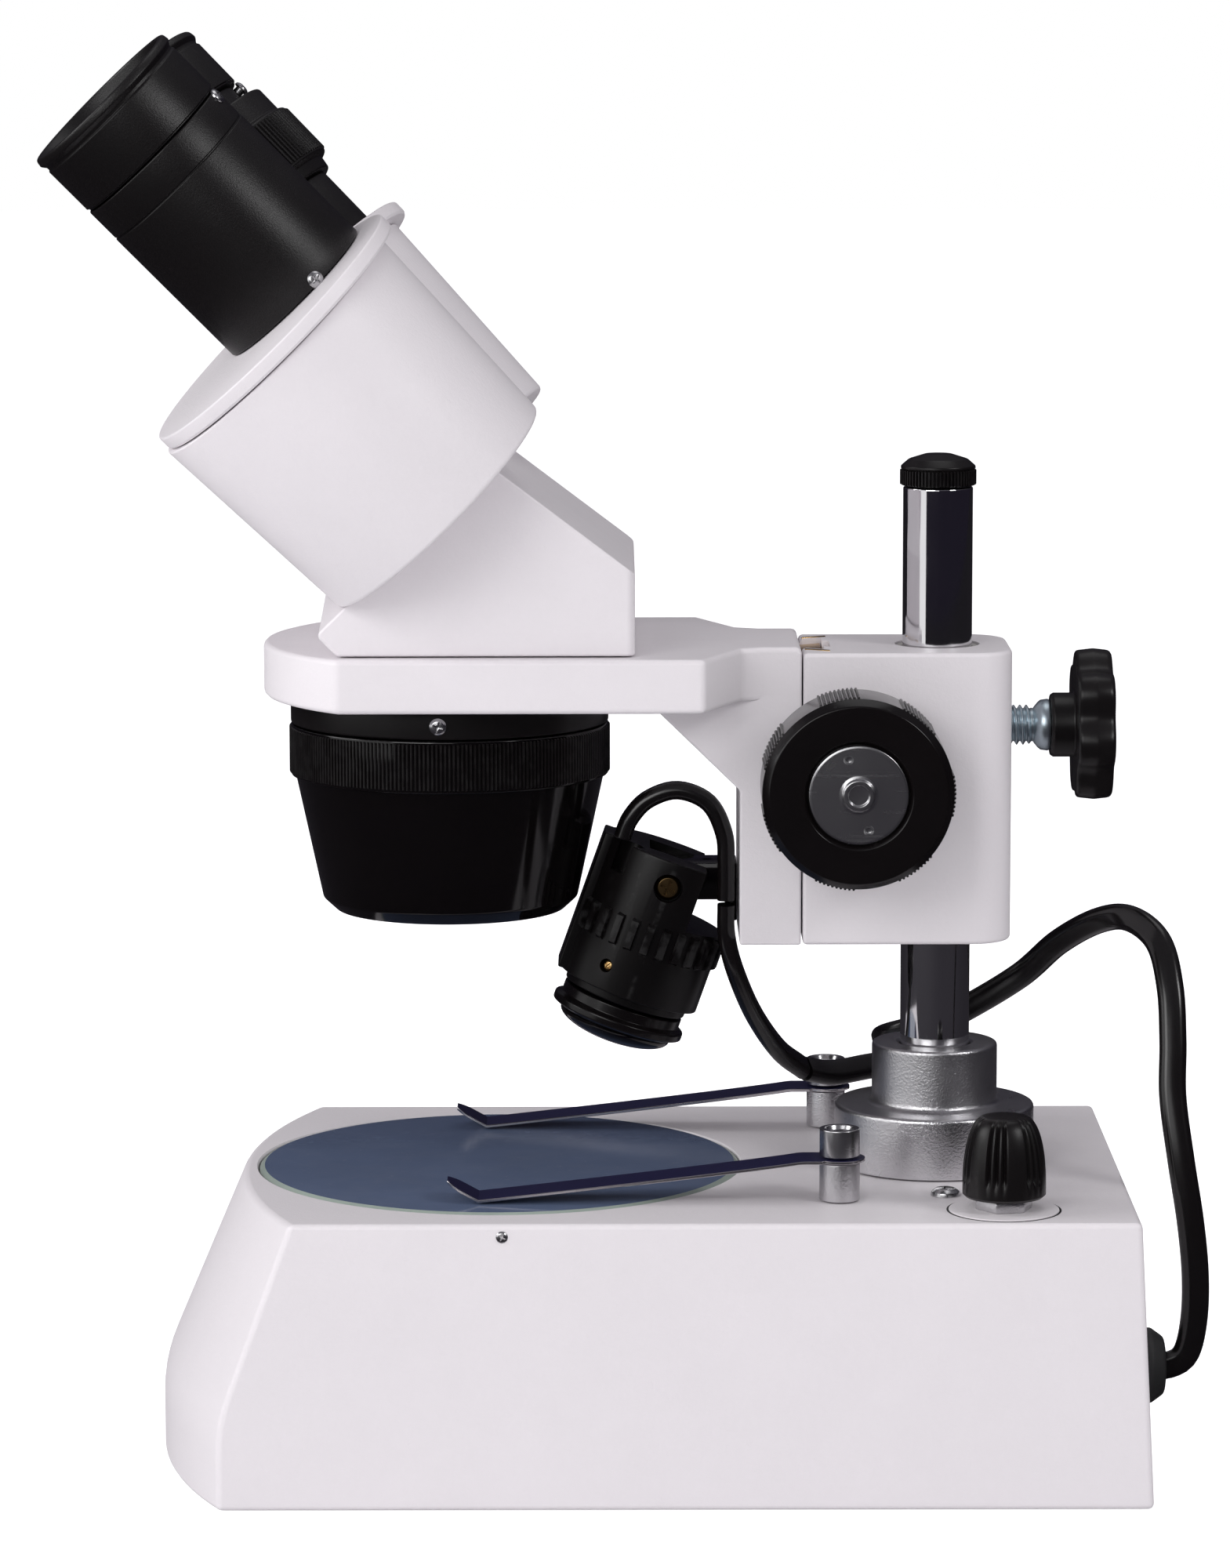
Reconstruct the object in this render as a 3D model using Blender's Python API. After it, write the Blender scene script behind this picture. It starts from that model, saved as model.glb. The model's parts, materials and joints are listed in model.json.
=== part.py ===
"""Low power stereo microscope on a hollow lamp base, with a pillar stand.

Metres, +Z up.  X runs from the observer (-X, eyepieces) to the pillar (+X),
Y across the instrument, Z = 0 is the bench top.  The sub-parts named
"near" are on the -Y side and those named "far" on the +Y side.
"""
import math

import bmesh
import bpy
from mathutils import Matrix, Vector

MM = 0.001
GAP = 0.3 * MM              # clearance between pieces that rest on each other
RUN = 0.1 * MM              # radial clearance of the turning and sliding fits

# ---- base -----------------------------------------------------------------
BASE_H = 54.8 * MM
BASE_FLOOR = 0.0
BASE_BREAK = 16.5 * MM      # height where the sloping nose turns upright
BASE_NOSE_FOOT = -88.2 * MM
BASE_NOSE_TOP = -71.9 * MM
BASE_CORNER_FOOT = -74.2 * MM
BASE_CORNER_TOP = -60.2 * MM
BASE_REAR_FOOT = 103.2 * MM
BASE_REAR_TOP = 100.6 * MM
BASE_HALF_FOOT = 58.9 * MM
BASE_HALF_TOP = 56.4 * MM
BASE_WALL = 3.0 * MM
BASE_ROOF = 8.0 * MM
COVER_T = 1.5 * MM
FOOT_R = 6.0 * MM
PLATE_X = -21.7 * MM
PLATE_R = 47.5 * MM
PLATE_T = 5.0 * MM
PLATE_PROUD = 0.2 * MM
PLATE_LEDGE = 4.0 * MM
# ---- clips and their posts ------------------------------------------------
POST_X = 44.2 * MM
POST_Y = 35.4 * MM
POST_R = 3.9 * MM
POST_SPACER_TOP = BASE_H + 7.6 * MM
POST_TOP = POST_SPACER_TOP + 6.6 * MM
POST_SCREW_R = 1.5 * MM
CLIP_T = 0.6 * MM
CLIP_W = 9.0 * MM
CLIP_TIP_X = -31.0 * MM
CLIP_TOUCH_X = -25.0 * MM
# ---- pillar ---------------------------------------------------------------
PILLAR_X = 64.3 * MM
PILLAR_R = 6.8 * MM
PILLAR_TOP = 189.0 * MM
FLANGE_R = 19.65 * MM
FLANGE_TOP = BASE_H + 12.3 * MM
COLLAR_R = 12.35 * MM
COLLAR_TOP = FLANGE_TOP + 12.1 * MM
CAP_R = PILLAR_R + 0.65 * MM
CAP_BAND_TOP = PILLAR_TOP + 3.5 * MM
CAP_TOP = CAP_BAND_TOP + 3.0 * MM
BOLT_R = 3.0 * MM
# ---- dimmer ---------------------------------------------------------------
DIMMER_X = 75.2 * MM
DIMMER_Y = -44.0 * MM
DIMMER_R = 7.95 * MM
DIMMER_Z0 = BASE_H + 2.8 * MM
DIMMER_TOP = DIMMER_Z0 + 15.4 * MM
# ---- focus block ----------------------------------------------------------
SEAM_X = 37.3 * MM          # plane between the block and the carrier
BLOCK_REAR = 78.4 * MM
BLOCK_HALF = 16.5 * MM
BLOCK_Z0 = 101.2 * MM
BLOCK_Z1 = 158.2 * MM
BLOCK_ROUND = 8.0 * MM
LINER_R = PILLAR_R + 1.4 * MM
SHAFT_X = 47.3 * MM
SHAFT_Z = 134.2 * MM
SHAFT_R = 3.0 * MM
PINION_R = 4.0 * MM
FOCUS_R = 18.4 * MM
FOCUS_INNER = 24.0 * MM     # from the middle plane to the wheel's rear face
FOCUS_OUTER = 42.0 * MM
CLAMP_Z = 142.7 * MM
CLAMP_SCREW_R = 4.0 * MM
CLAMP_R = 15.6 * MM
CLAMP_X0 = 91.2 * MM
CLAMP_X1 = 98.4 * MM
CLAMP_HUB_R = 6.3 * MM
CLAMP_HUB_X0 = 86.5 * MM
# ---- carrier --------------------------------------------------------------
CARRIER_TOP = 159.4 * MM
CARRIER_BOTTOM = 149.0 * MM
CARRIER_HALF = 36.5 * MM
CARRIER_NOSE = -67.3 * MM
CARRIER_CORNER = -51.7 * MM
CARRIER_SIDE_END = 18.3 * MM
CARRIER_NECK_X = 25.8 * MM
COLUMN_X = 25.4 * MM        # front face of the upright slide casting
GUSSET_X = 7.4 * MM
GUSSET_Z = 131.5 * MM
# ---- objective ------------------------------------------------------------
OBJ_X = -31.1 * MM
OBJ_MOUNT_R = 31.1 * MM
OBJ_MOUNT_Z = 143.4 * MM
OBJ_RING_R = 31.4 * MM
OBJ_RING_Z = 133.0 * MM
OBJ_CUP_TOP_R = 30.2 * MM
OBJ_CUP_LOW_R = 24.4 * MM
OBJ_CUP_Z = 106.3 * MM
OBJ_LENS_R = 6.5 * MM
OBJ_LENS_OFFSET = 13.5 * MM
# ---- head -----------------------------------------------------------------
HEAD_HALF = 33.2 * MM
HEAD_FRONT = -51.5 * MM
HEAD_REAR = 5.1 * MM
HEAD_REAR_Z = 175.4 * MM
HEAD_SLOPE = math.radians(37.0)
DRUM_X = -32.3 * MM         # lower middle of each prism housing
DRUM_Y = 27.8 * MM
DRUM_Z = 187.6 * MM
DRUM_LEN = 43.9 * MM
DRUM_R_LOW = 26.6 * MM
DRUM_R_TOP = 28.4 * MM
LID_R = 29.6 * MM
LID_UP = 1.9 * MM            # the lid stands off the housing's axis
LID_T = 2.9 * MM
TUBE_TILT = math.radians(45.7)   # of both barrels above the bench
TUBE_SPREAD = math.radians(6.5)  # each barrel's lean away from the middle
TUBE_UP = 9.2 * MM          # eyepiece axis above the housing's axis
TUBE_IN = 6.4 * MM          # and towards the middle
TUBE_R = 16.6 * MM
TUBE_BORE = TUBE_R - 1.25 * MM
TUBE_LEN = 41.0 * MM        # from the lid to the eyepiece's shoulder
CUP_LEN = 10.6 * MM
CUP_R = TUBE_R - 0.1 * MM
LIP_R = CUP_R + 0.4 * MM
DIOPTRE_R = TUBE_R + 3.6 * MM
# ---- lamp -----------------------------------------------------------------
LAMP_TILT = math.radians(19.6)
LAMP_X = 1.9 * MM          # middle of the bezel
LAMP_Z = 84.9 * MM
LAMP_R = 14.2 * MM
LAMP_S0 = 3.3 * MM          # along the lamp's own axis, up from the bezel
LAMP_S1 = 33.9 * MM
LAMP_PIVOT_S = 28.7 * MM
LAMP_SADDLE_S = 21.6 * MM
TONGUE_HALF = 5.4 * MM
TONGUE_R = 3.6 * MM
BRACKET_TOP = 115.6 * MM
# ---- lead -----------------------------------------------------------------
LEAD_R = 2.2 * MM
LEAD_STEP = 5.5 * MM
GROMMET_Y = -30.0 * MM
GROMMET_Z = 20.9 * MM
GROMMET_R = 7.3 * MM
GROMMET_X = 107.6 * MM

SEG = 32
SEG_MID = 22
SEG_SMALL = 14


# ---------------------------------------------------------------------------
# materials
# ---------------------------------------------------------------------------
def material(name, colour, roughness, metallic=0.0, alpha=1.0):
    mat = bpy.data.materials.new(name)
    mat.use_nodes = True
    shader = mat.node_tree.nodes["Principled BSDF"]
    shader.inputs["Base Color"].default_value = (*colour, 1.0)
    shader.inputs["Roughness"].default_value = roughness
    shader.inputs["Metallic"].default_value = metallic
    shader.inputs["Alpha"].default_value = alpha
    mat.diffuse_color = (*colour, 1.0)
    return mat


def make_materials():
    return {
        "white": material("white_coat", (0.84, 0.83, 0.82), 0.55),
        "black": material("black_satin", (0.012, 0.012, 0.013), 0.42),
        "gloss": material("black_gloss", (0.008, 0.008, 0.009), 0.12),
        "chrome": material("chrome", (0.78, 0.78, 0.80), 0.06, 1.0),
        "aluminium": material("aluminium", (0.72, 0.73, 0.74), 0.32, 1.0),
        "steel": material("steel", (0.55, 0.56, 0.58), 0.25, 1.0),
        "zinc": material("zinc", (0.58, 0.64, 0.70), 0.3, 1.0),
        "brass": material("brass", (0.72, 0.52, 0.22), 0.3, 1.0),
        "rubber": material("rubber", (0.02, 0.02, 0.02), 0.7),
        "cable": material("cable", (0.014, 0.014, 0.014), 0.35),
        "plate": material("stage_glass", (0.10, 0.13, 0.17), 0.15),
        "lens": material("lens_glass", (0.25, 0.30, 0.35), 0.03, 0.0, 0.6),
        "nylon": material("nylon", (0.55, 0.53, 0.48), 0.5),
    }


# ---------------------------------------------------------------------------
# building helpers
# ---------------------------------------------------------------------------
def to_object(name, bm, mat, loc=(0, 0, 0), rot=None, parent=None, smooth=True):
    bmesh.ops.recalc_face_normals(bm, faces=bm.faces)
    mesh = bpy.data.meshes.new(name)
    bm.to_mesh(mesh)
    bm.free()
    mesh.materials.append(mat)
    if smooth:
        mesh.shade_smooth()
        mesh.set_sharp_from_angle(angle=math.radians(32))
    obj = bpy.data.objects.new(name, mesh)
    bpy.context.scene.collection.objects.link(obj)
    obj.location = loc
    if rot is not None:
        obj.rotation_mode = "QUATERNION"
        obj.rotation_quaternion = rot
    if parent is not None:
        obj.parent = parent
    return obj


def empty(name, loc, rot=None):
    obj = bpy.data.objects.new(name, None)
    bpy.context.scene.collection.objects.link(obj)
    obj.location = loc
    if rot is not None:
        obj.rotation_mode = "QUATERNION"
        obj.rotation_quaternion = rot
    return obj


def turned(profile, seg=SEG, closed=False):
    """Spin an (r, z) profile about Z.  An open profile starts and ends at r = 0."""
    bm = bmesh.new()
    verts = [bm.verts.new((r, 0.0, z)) for r, z in profile]
    edges = [bm.edges.new(pair) for pair in zip(verts, verts[1:])]
    if closed:
        edges.append(bm.edges.new((verts[-1], verts[0])))
    bmesh.ops.spin(bm, geom=verts + edges, cent=(0, 0, 0), axis=(0, 0, 1),
                   angle=2 * math.pi, steps=seg, use_merge=True)
    bmesh.ops.remove_doubles(bm, verts=bm.verts, dist=1e-7)
    bmesh.ops.dissolve_degenerate(bm, dist=1e-7, edges=bm.edges)
    return bm


def extruded(outline, z0, z1):
    """A closed outline of (x, y) points raised from z0 to z1."""
    bm = bmesh.new()
    face = bm.faces.new([bm.verts.new((x, y, z0)) for x, y in outline])
    grown = bmesh.ops.extrude_face_region(bm, geom=[face])
    up = [v for v in grown["geom"] if isinstance(v, bmesh.types.BMVert)]
    bmesh.ops.translate(bm, verts=up, vec=(0, 0, z1 - z0))
    return bm


def upright(outline, y0, y1):
    """A closed outline of (x, z) points drawn through from y0 to y1."""
    bm = extruded(outline, -y1, -y0)
    bmesh.ops.rotate(bm, verts=bm.verts, cent=(0, 0, 0),
                     matrix=Matrix.Rotation(math.radians(90), 3, "X"))
    return bm


def box(x0, x1, y0, y1, z0, z1):
    return extruded([(x0, y0), (x1, y0), (x1, y1), (x0, y1)], z0, z1)


def rod(radius, z0, z1, seg=SEG):
    return turned([(0, z0), (radius, z0), (radius, z1), (0, z1)], seg)


def ring(inner, outer, z0, z1, seg=SEG):
    return turned([(inner, z0), (outer, z0), (outer, z1), (inner, z1)], seg, True)


def cutter(name, bm, loc=(0, 0, 0), rot=None, parent=None):
    bmesh.ops.recalc_face_normals(bm, faces=bm.faces)
    mesh = bpy.data.meshes.new(name)
    bm.to_mesh(mesh)
    bm.free()
    obj = bpy.data.objects.new(name, mesh)
    bpy.context.scene.collection.objects.link(obj)
    obj.location = loc
    if rot is not None:
        obj.rotation_mode = "QUATERNION"
        obj.rotation_quaternion = rot
    if parent is not None:
        obj.parent = parent
    obj.hide_render = True
    obj.display_type = "WIRE"
    return obj


def boolean(obj, tool, operation="DIFFERENCE"):
    mod = obj.modifiers.new(operation.title(), "BOOLEAN")
    mod.operation = operation
    mod.object = tool
    mod.solver = "EXACT"


def bevel(obj, width, segments=2, angle=32):
    mod = obj.modifiers.new("Bevel", "BEVEL")
    mod.width = width
    mod.segments = segments
    mod.limit_method = "ANGLE"
    mod.angle_limit = math.radians(angle)


ALONG_X = Vector((0, 0, 1)).rotation_difference(Vector((1, 0, 0)))
ALONG_Y = Vector((0, 0, 1)).rotation_difference(Vector((0, 1, 0)))
ALONG_MINUS_Y = Vector((0, 0, 1)).rotation_difference(Vector((0, -1, 0)))


def arc_front(corner, apex, half, count):
    """Points of the bowed nose, from the -Y corner round to the +Y corner."""
    sag = corner - apex
    radius = (half * half + sag * sag) / (2 * sag)
    reach = math.asin(half / radius)
    points = []
    for i in range(count + 1):
        a = -reach + 2 * reach * i / count
        points.append((apex + radius * (1 - math.cos(a)), radius * math.sin(a)))
    return points


# ---------------------------------------------------------------------------
# base
# ---------------------------------------------------------------------------
def base_outline(z, inset=0.0):
    """Plan of the base at a height, drawn in by a wall thickness."""
    t = z / BASE_H
    half = BASE_HALF_FOOT + (BASE_HALF_TOP - BASE_HALF_FOOT) * t
    rear = BASE_REAR_FOOT + (BASE_REAR_TOP - BASE_REAR_FOOT) * t
    nose_t = max(0.0, (z - BASE_BREAK) / (BASE_H - BASE_BREAK))
    nose = BASE_NOSE_FOOT + (BASE_NOSE_TOP - BASE_NOSE_FOOT) * nose_t
    corner = BASE_CORNER_FOOT + (BASE_CORNER_TOP - BASE_CORNER_FOOT) * nose_t
    half = half - inset
    front = arc_front(corner + inset, nose + inset, half, 12)
    return [(rear - inset, half), *reversed(front), (rear - inset, -half)]


def loft(levels, inset=0.0):
    """Skin between plans of the base taken at the given heights."""
    bm = bmesh.new()
    rings = []
    for z in levels:
        t = min(max(z, 0.0), BASE_H)
        rings.append([bm.verts.new((x, y, z)) for x, y in base_outline(t, inset)])
    count = len(rings[0])
    for low, high in zip(rings, rings[1:]):
        for i in range(count):
            j = (i + 1) % count
            bm.faces.new((low[i], low[j], high[j], high[i]))
    bm.faces.new(rings[0])
    bm.faces.new(rings[-1])
    return bm


def make_base(m):
    shell = to_object("base_shell", loft([BASE_FLOOR, BASE_BREAK, BASE_H]), m["white"])
    bevel(shell, 1.2 * MM, 1, 40)
    inside = cutter("cut_base_inside",
                    loft([-2 * MM, BASE_BREAK, BASE_H - BASE_ROOF], BASE_WALL))
    boolean(shell, inside)
    seat_z = BASE_H + PLATE_PROUD - PLATE_T - GAP
    seat = turned([(0, seat_z - 20 * MM), (PLATE_R - PLATE_LEDGE, seat_z - 20 * MM),
                   (PLATE_R - PLATE_LEDGE, seat_z), (PLATE_R + GAP, seat_z),
                   (PLATE_R + GAP, BASE_H + 5 * MM), (0, BASE_H + 5 * MM)], 48)
    boolean(shell, cutter("cut_plate_seat", seat, (PLATE_X, 0, 0)))
    deep = BASE_H - BASE_ROOF - 5 * MM
    for side, y in (("near", -POST_Y), ("far", POST_Y)):
        hole = rod(POST_SCREW_R + GAP, deep, BASE_H + 5 * MM, 16)
        boolean(shell, cutter("cut_post_" + side, hole, (POST_X, y, 0)))
    hole = rod(BOLT_R + GAP, deep, BASE_H + 5 * MM, 16)
    boolean(shell, cutter("cut_pillar_bolt", hole, (PILLAR_X, 0, 0)))
    hole = rod(3.5 * MM + GAP, deep, BASE_H + 5 * MM, 16)
    boolean(shell, cutter("cut_dimmer", hole, (DIMMER_X, DIMMER_Y, 0)))
    hole = rod(GROMMET_R - 2.3 * MM, -8 * MM, 8 * MM, SEG_SMALL)
    boolean(shell, cutter("cut_grommet", hole,
                          (BASE_REAR_FOOT, GROMMET_Y, GROMMET_Z), ALONG_X))

    z0 = BASE_FLOOR + 1.0 * MM
    plan = base_outline(0.0, BASE_WALL + 0.5 * MM)
    to_object("base_cover", extruded(plan, z0, z0 + COVER_T), m["steel"])
    spots = ((-58 * MM, 40 * MM), (-58 * MM, -40 * MM), (86 * MM, 42 * MM), (86 * MM, -42 * MM))
    for i, (x, y) in enumerate(spots, 1):
        pad = turned([(0, 0), (FOOT_R - 0.8 * MM, 0), (FOOT_R, 0.6 * MM),
                      (FOOT_R, z0 - GAP), (0, z0 - GAP)], SEG_SMALL)
        to_object("foot_%d" % i, pad, m["rubber"], (x, y, 0))


def make_plate(m):
    z1 = BASE_H + PLATE_PROUD
    z0 = z1 - PLATE_T
    disc = turned([(0, z0), (PLATE_R - 0.5 * MM, z0), (PLATE_R, z0 + 0.5 * MM),
                   (PLATE_R, z1 - 0.5 * MM), (PLATE_R - 0.5 * MM, z1), (0, z1)], 48)
    to_object("stage_plate", disc, m["plate"], (PLATE_X, 0, 0))
    bulb_z = 6.0 * MM
    bulb = turned([(0, bulb_z), (9 * MM, bulb_z), (9 * MM, bulb_z + 9 * MM),
                   (5 * MM, bulb_z + 10 * MM), (5 * MM, bulb_z + 16 * MM),
                   (3 * MM, bulb_z + 20 * MM), (0, bulb_z + 21 * MM)], SEG_SMALL)
    to_object("stage_bulb", bulb, m["lens"], (PLATE_X, 0, 0))


# ---------------------------------------------------------------------------
# specimen clips
# ---------------------------------------------------------------------------
def clip_height(x):
    """Mid height of the spring strip along its length."""
    flat = POST_SPACER_TOP + GAP + CLIP_T / 2
    touch = BASE_H + PLATE_PROUD + GAP + CLIP_T / 2
    start = POST_X - 7.5 * MM
    if x >= start:
        return flat
    if x >= CLIP_TOUCH_X:
        t = (start - x) / (start - CLIP_TOUCH_X)
        return flat + (touch - flat) * (t ** 0.92)
    return touch + (CLIP_TOUCH_X - x) * 0.55


def clip_half_width(x):
    eye = 4.9 * MM
    reach = x - POST_X
    if reach > -3.0 * MM:
        return math.sqrt(max(eye * eye - reach * reach, (0.25 * eye) ** 2))
    if x < CLIP_TIP_X + 2.5 * MM:
        t = (CLIP_TIP_X + 2.5 * MM - x) / (2.5 * MM)
        return CLIP_W / 2 * (1 - 0.45 * t * t)
    return CLIP_W / 2


def make_clips(m):
    xs = [CLIP_TIP_X, CLIP_TIP_X + 0.8 * MM, CLIP_TIP_X + 2.5 * MM, CLIP_TOUCH_X,
          CLIP_TOUCH_X + 1.5 * MM]
    steps = 8
    start = POST_X - 7.5 * MM
    for i in range(1, steps + 1):
        xs.append(CLIP_TOUCH_X + 1.5 * MM + (start - CLIP_TOUCH_X - 1.5 * MM) * i / steps)
    xs += [POST_X + d * MM for d in (-5.0, -3.0, -1.5, 0.0, 1.5, 3.0, 4.0, 4.6)]
    for side, y in (("near", -POST_Y), ("far", POST_Y)):
        bm = bmesh.new()
        rings = []
        for x in xs:
            w, z = clip_half_width(x), clip_height(x)
            corners = ((-w, -CLIP_T / 2), (w, -CLIP_T / 2), (w, CLIP_T / 2), (-w, CLIP_T / 2))
            rings.append([bm.verts.new((x - POST_X, v, z + h)) for v, h in corners])
        for low, high in zip(rings, rings[1:]):
            for i in range(4):
                j = (i + 1) % 4
                bm.faces.new((low[i], low[j], high[j], high[i]))
        bm.faces.new(rings[0])
        bm.faces.new(rings[-1])
        clip = to_object("stage_clip_" + side, bm, m["steel"], (POST_X, y, 0))
        hole = rod(POST_SCREW_R + RUN, BASE_H, POST_TOP, SEG_SMALL)
        boolean(clip, cutter("cut_clip_" + side, hole, (POST_X, y, 0)))

        spacer = ring(POST_SCREW_R + RUN, POST_R, BASE_H + GAP, POST_SPACER_TOP, SEG_SMALL)
        to_object("clip_spacer_" + side, spacer, m["aluminium"], (POST_X, y, 0))
        head_z = POST_SPACER_TOP + CLIP_T + 2 * GAP
        low = BASE_H - BASE_ROOF + 1 * MM
        screw = turned([(0, low), (POST_SCREW_R, low), (POST_SCREW_R, head_z),
                        (POST_R, head_z), (POST_R, POST_TOP - 0.4 * MM),
                        (POST_R - 0.4 * MM, POST_TOP), (2.1 * MM, POST_TOP),
                        (2.1 * MM, POST_TOP - 2.6 * MM), (0, POST_TOP - 2.6 * MM)],
                       SEG_SMALL)
        to_object("clip_screw_" + side, screw, m["chrome"], (POST_X, y, 0))


# ---------------------------------------------------------------------------
# pillar, collar, dimmer
# ---------------------------------------------------------------------------
def make_pillar(m):
    z0 = BASE_H + GAP
    bore = PILLAR_R + GAP
    fillet = 1.2 * MM
    collar = turned([(bore, z0), (FLANGE_R, z0), (FLANGE_R, FLANGE_TOP - 0.8 * MM),
                     (FLANGE_R - 0.8 * MM, FLANGE_TOP), (COLLAR_R + fillet, FLANGE_TOP),
                     (COLLAR_R, FLANGE_TOP + fillet), (COLLAR_R, COLLAR_TOP - 0.8 * MM),
                     (COLLAR_R - 0.8 * MM, COLLAR_TOP), (bore, COLLAR_TOP)], SEG, True)
    to_object("pillar_collar", collar, m["aluminium"], (PILLAR_X, 0, 0))

    plug_r = 3.8 * MM
    bar = turned([(0, z0 + 18 * MM), (BOLT_R + GAP, z0 + 18 * MM), (BOLT_R + GAP, z0),
                  (PILLAR_R, z0), (PILLAR_R, PILLAR_TOP - 0.5 * MM),
                  (PILLAR_R - 0.5 * MM, PILLAR_TOP), (plug_r + GAP, PILLAR_TOP),
                  (plug_r + GAP, PILLAR_TOP - 10 * MM), (0, PILLAR_TOP - 10 * MM)])
    to_object("pillar", bar, m["chrome"], (PILLAR_X, 0, 0))

    z1 = PILLAR_TOP + GAP
    profile = [(0, z1 - 8 * MM), (plug_r, z1 - 8 * MM), (plug_r, z1), (CAP_R, z1),
               (CAP_R, CAP_BAND_TOP)]
    rise = CAP_TOP - CAP_BAND_TOP
    for i in range(1, 4):
        a = math.radians(90) * i / 4
        profile.append(((CAP_R - 0.3 * MM) * math.cos(a), CAP_BAND_TOP + rise * math.sin(a)))
    profile.append((0, CAP_TOP))
    to_object("pillar_cap", turned(profile), m["black"], (PILLAR_X, 0, 0))

    under = BASE_H - BASE_ROOF - GAP
    bolt = turned([(0, under - 5 * MM), (6.5 * MM, under - 5 * MM), (6.5 * MM, under),
                   (BOLT_R, under), (BOLT_R, z0 + 14 * MM), (0, z0 + 14 * MM)], SEG_SMALL)
    to_object("pillar_bolt", bolt, m["zinc"], (PILLAR_X, 0, 0))


def make_dimmer(m):
    at = (DIMMER_X, DIMMER_Y, 0)
    stem = 2.4 * MM
    profile = [(0, DIMMER_Z0 + 9 * MM), (stem + GAP, DIMMER_Z0 + 9 * MM),
               (stem + GAP, DIMMER_Z0), (DIMMER_R - 0.3 * MM, DIMMER_Z0),
               (DIMMER_R, DIMMER_Z0 + 0.4 * MM), (DIMMER_R, DIMMER_Z0 + 4.0 * MM)]
    top = 3.6 * MM
    for i in range(1, 4):
        a = math.radians(90) * i / 4
        r = top + (DIMMER_R - top) * math.cos(a) ** 0.8
        profile.append((r, DIMMER_Z0 + 4.0 * MM
                        + (DIMMER_TOP - DIMMER_Z0 - 4.0 * MM) * math.sin(a)))
    profile += [(top, DIMMER_TOP), (0, DIMMER_TOP)]
    to_object("dimmer_knob", turned(profile, SEG_MID), m["black"], at)

    hexagon = []
    for i in range(6):
        a = math.radians(60 * i + 10)
        hexagon.append((5.6 * MM * math.cos(a), 5.6 * MM * math.sin(a)))
    nut = to_object("dimmer_nut", extruded(hexagon, BASE_H + GAP, BASE_H + 2.4 * MM),
                    m["chrome"], at)
    bore = rod(3.5 * MM + GAP, BASE_H - 5 * MM, BASE_H + 5 * MM, 16)
    boolean(nut, cutter("cut_nut", bore, at))

    under = BASE_H - BASE_ROOF - GAP
    body = turned([(0, under - 9 * MM), (8 * MM, under - 9 * MM), (8 * MM, under),
                   (3.5 * MM, under), (3.5 * MM, BASE_H + 2.0 * MM),
                   (stem, BASE_H + 2.0 * MM), (stem, DIMMER_Z0 + 8 * MM),
                   (0, DIMMER_Z0 + 8 * MM)], SEG_SMALL)
    to_object("dimmer_body", body, m["steel"], at)


# ---------------------------------------------------------------------------
# focus block, clamp and focus drive
# ---------------------------------------------------------------------------
SLIDE_NECK = 6.5 * MM       # half widths of the dovetail at its two faces
SLIDE_BACK = 9.0 * MM
SLIDE_X0 = 37.9 * MM
SLIDE_X1 = 41.6 * MM
RACK_X1 = 42.9 * MM
RACK_HALF = 4.5 * MM


def block_outline():
    r = BLOCK_ROUND
    points = [(SEAM_X + GAP, BLOCK_HALF), (SEAM_X + GAP, -BLOCK_HALF)]
    for cy, start in ((-BLOCK_HALF + r, -90), (BLOCK_HALF - r, 0)):
        for i in range(7):
            a = math.radians(start + 15 * i)
            points.append((BLOCK_REAR - r + r * math.cos(a), cy + r * math.sin(a)))
    return points


def make_block(m):
    block = to_object("focus_block", extruded(block_outline(), BLOCK_Z0, BLOCK_Z1), m["white"])
    bevel(block, 0.6 * MM, 1, 60)
    bore = turned([(0, BLOCK_Z0 - 5 * MM), (LINER_R + RUN, BLOCK_Z0 - 5 * MM),
                   (LINER_R + RUN, BLOCK_Z1 + 5 * MM), (0, BLOCK_Z1 + 5 * MM)])
    boolean(block, cutter("cut_pillar_bore", bore, (PILLAR_X, 0, 0)))
    c = GAP
    slot = [(SEAM_X - 5 * MM, -SLIDE_NECK - c), (SLIDE_X0, -SLIDE_NECK - c),
            (SLIDE_X1 + c, -SLIDE_BACK - c), (SLIDE_X1 + c, -RACK_HALF - c),
            (RACK_X1 + c, -RACK_HALF - c), (RACK_X1 + c, RACK_HALF + c),
            (SLIDE_X1 + c, RACK_HALF + c), (SLIDE_X1 + c, SLIDE_BACK + c),
            (SLIDE_X0, SLIDE_NECK + c), (SEAM_X - 5 * MM, SLIDE_NECK + c)]
    boolean(block, cutter("cut_dovetail",
                          extruded(slot, BLOCK_Z0 - 5 * MM, BLOCK_Z1 + 5 * MM)))
    wide = PINION_R + GAP
    low = BLOCK_HALF + 5 * MM
    drive = turned([(0, -low), (SHAFT_R + RUN, -low), (SHAFT_R + RUN, -7 * MM),
                    (wide, -7 * MM), (wide, 7 * MM), (SHAFT_R + RUN, 7 * MM),
                    (SHAFT_R + RUN, low), (0, low)], SEG_SMALL)
    boolean(block, cutter("cut_shaft", drive, (SHAFT_X, 0, SHAFT_Z), ALONG_Y))
    clamp = rod(CLAMP_SCREW_R + RUN, 0, 40 * MM, SEG_SMALL)
    boolean(block, cutter("cut_clamp", clamp, (PILLAR_X, 0, CLAMP_Z), ALONG_X))

    liner = ring(PILLAR_R + RUN, LINER_R, BLOCK_Z0, BLOCK_Z1 - 0.4 * MM)
    to_object("liner_sleeve", liner, m["nylon"], (PILLAR_X, 0, 0))


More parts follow.
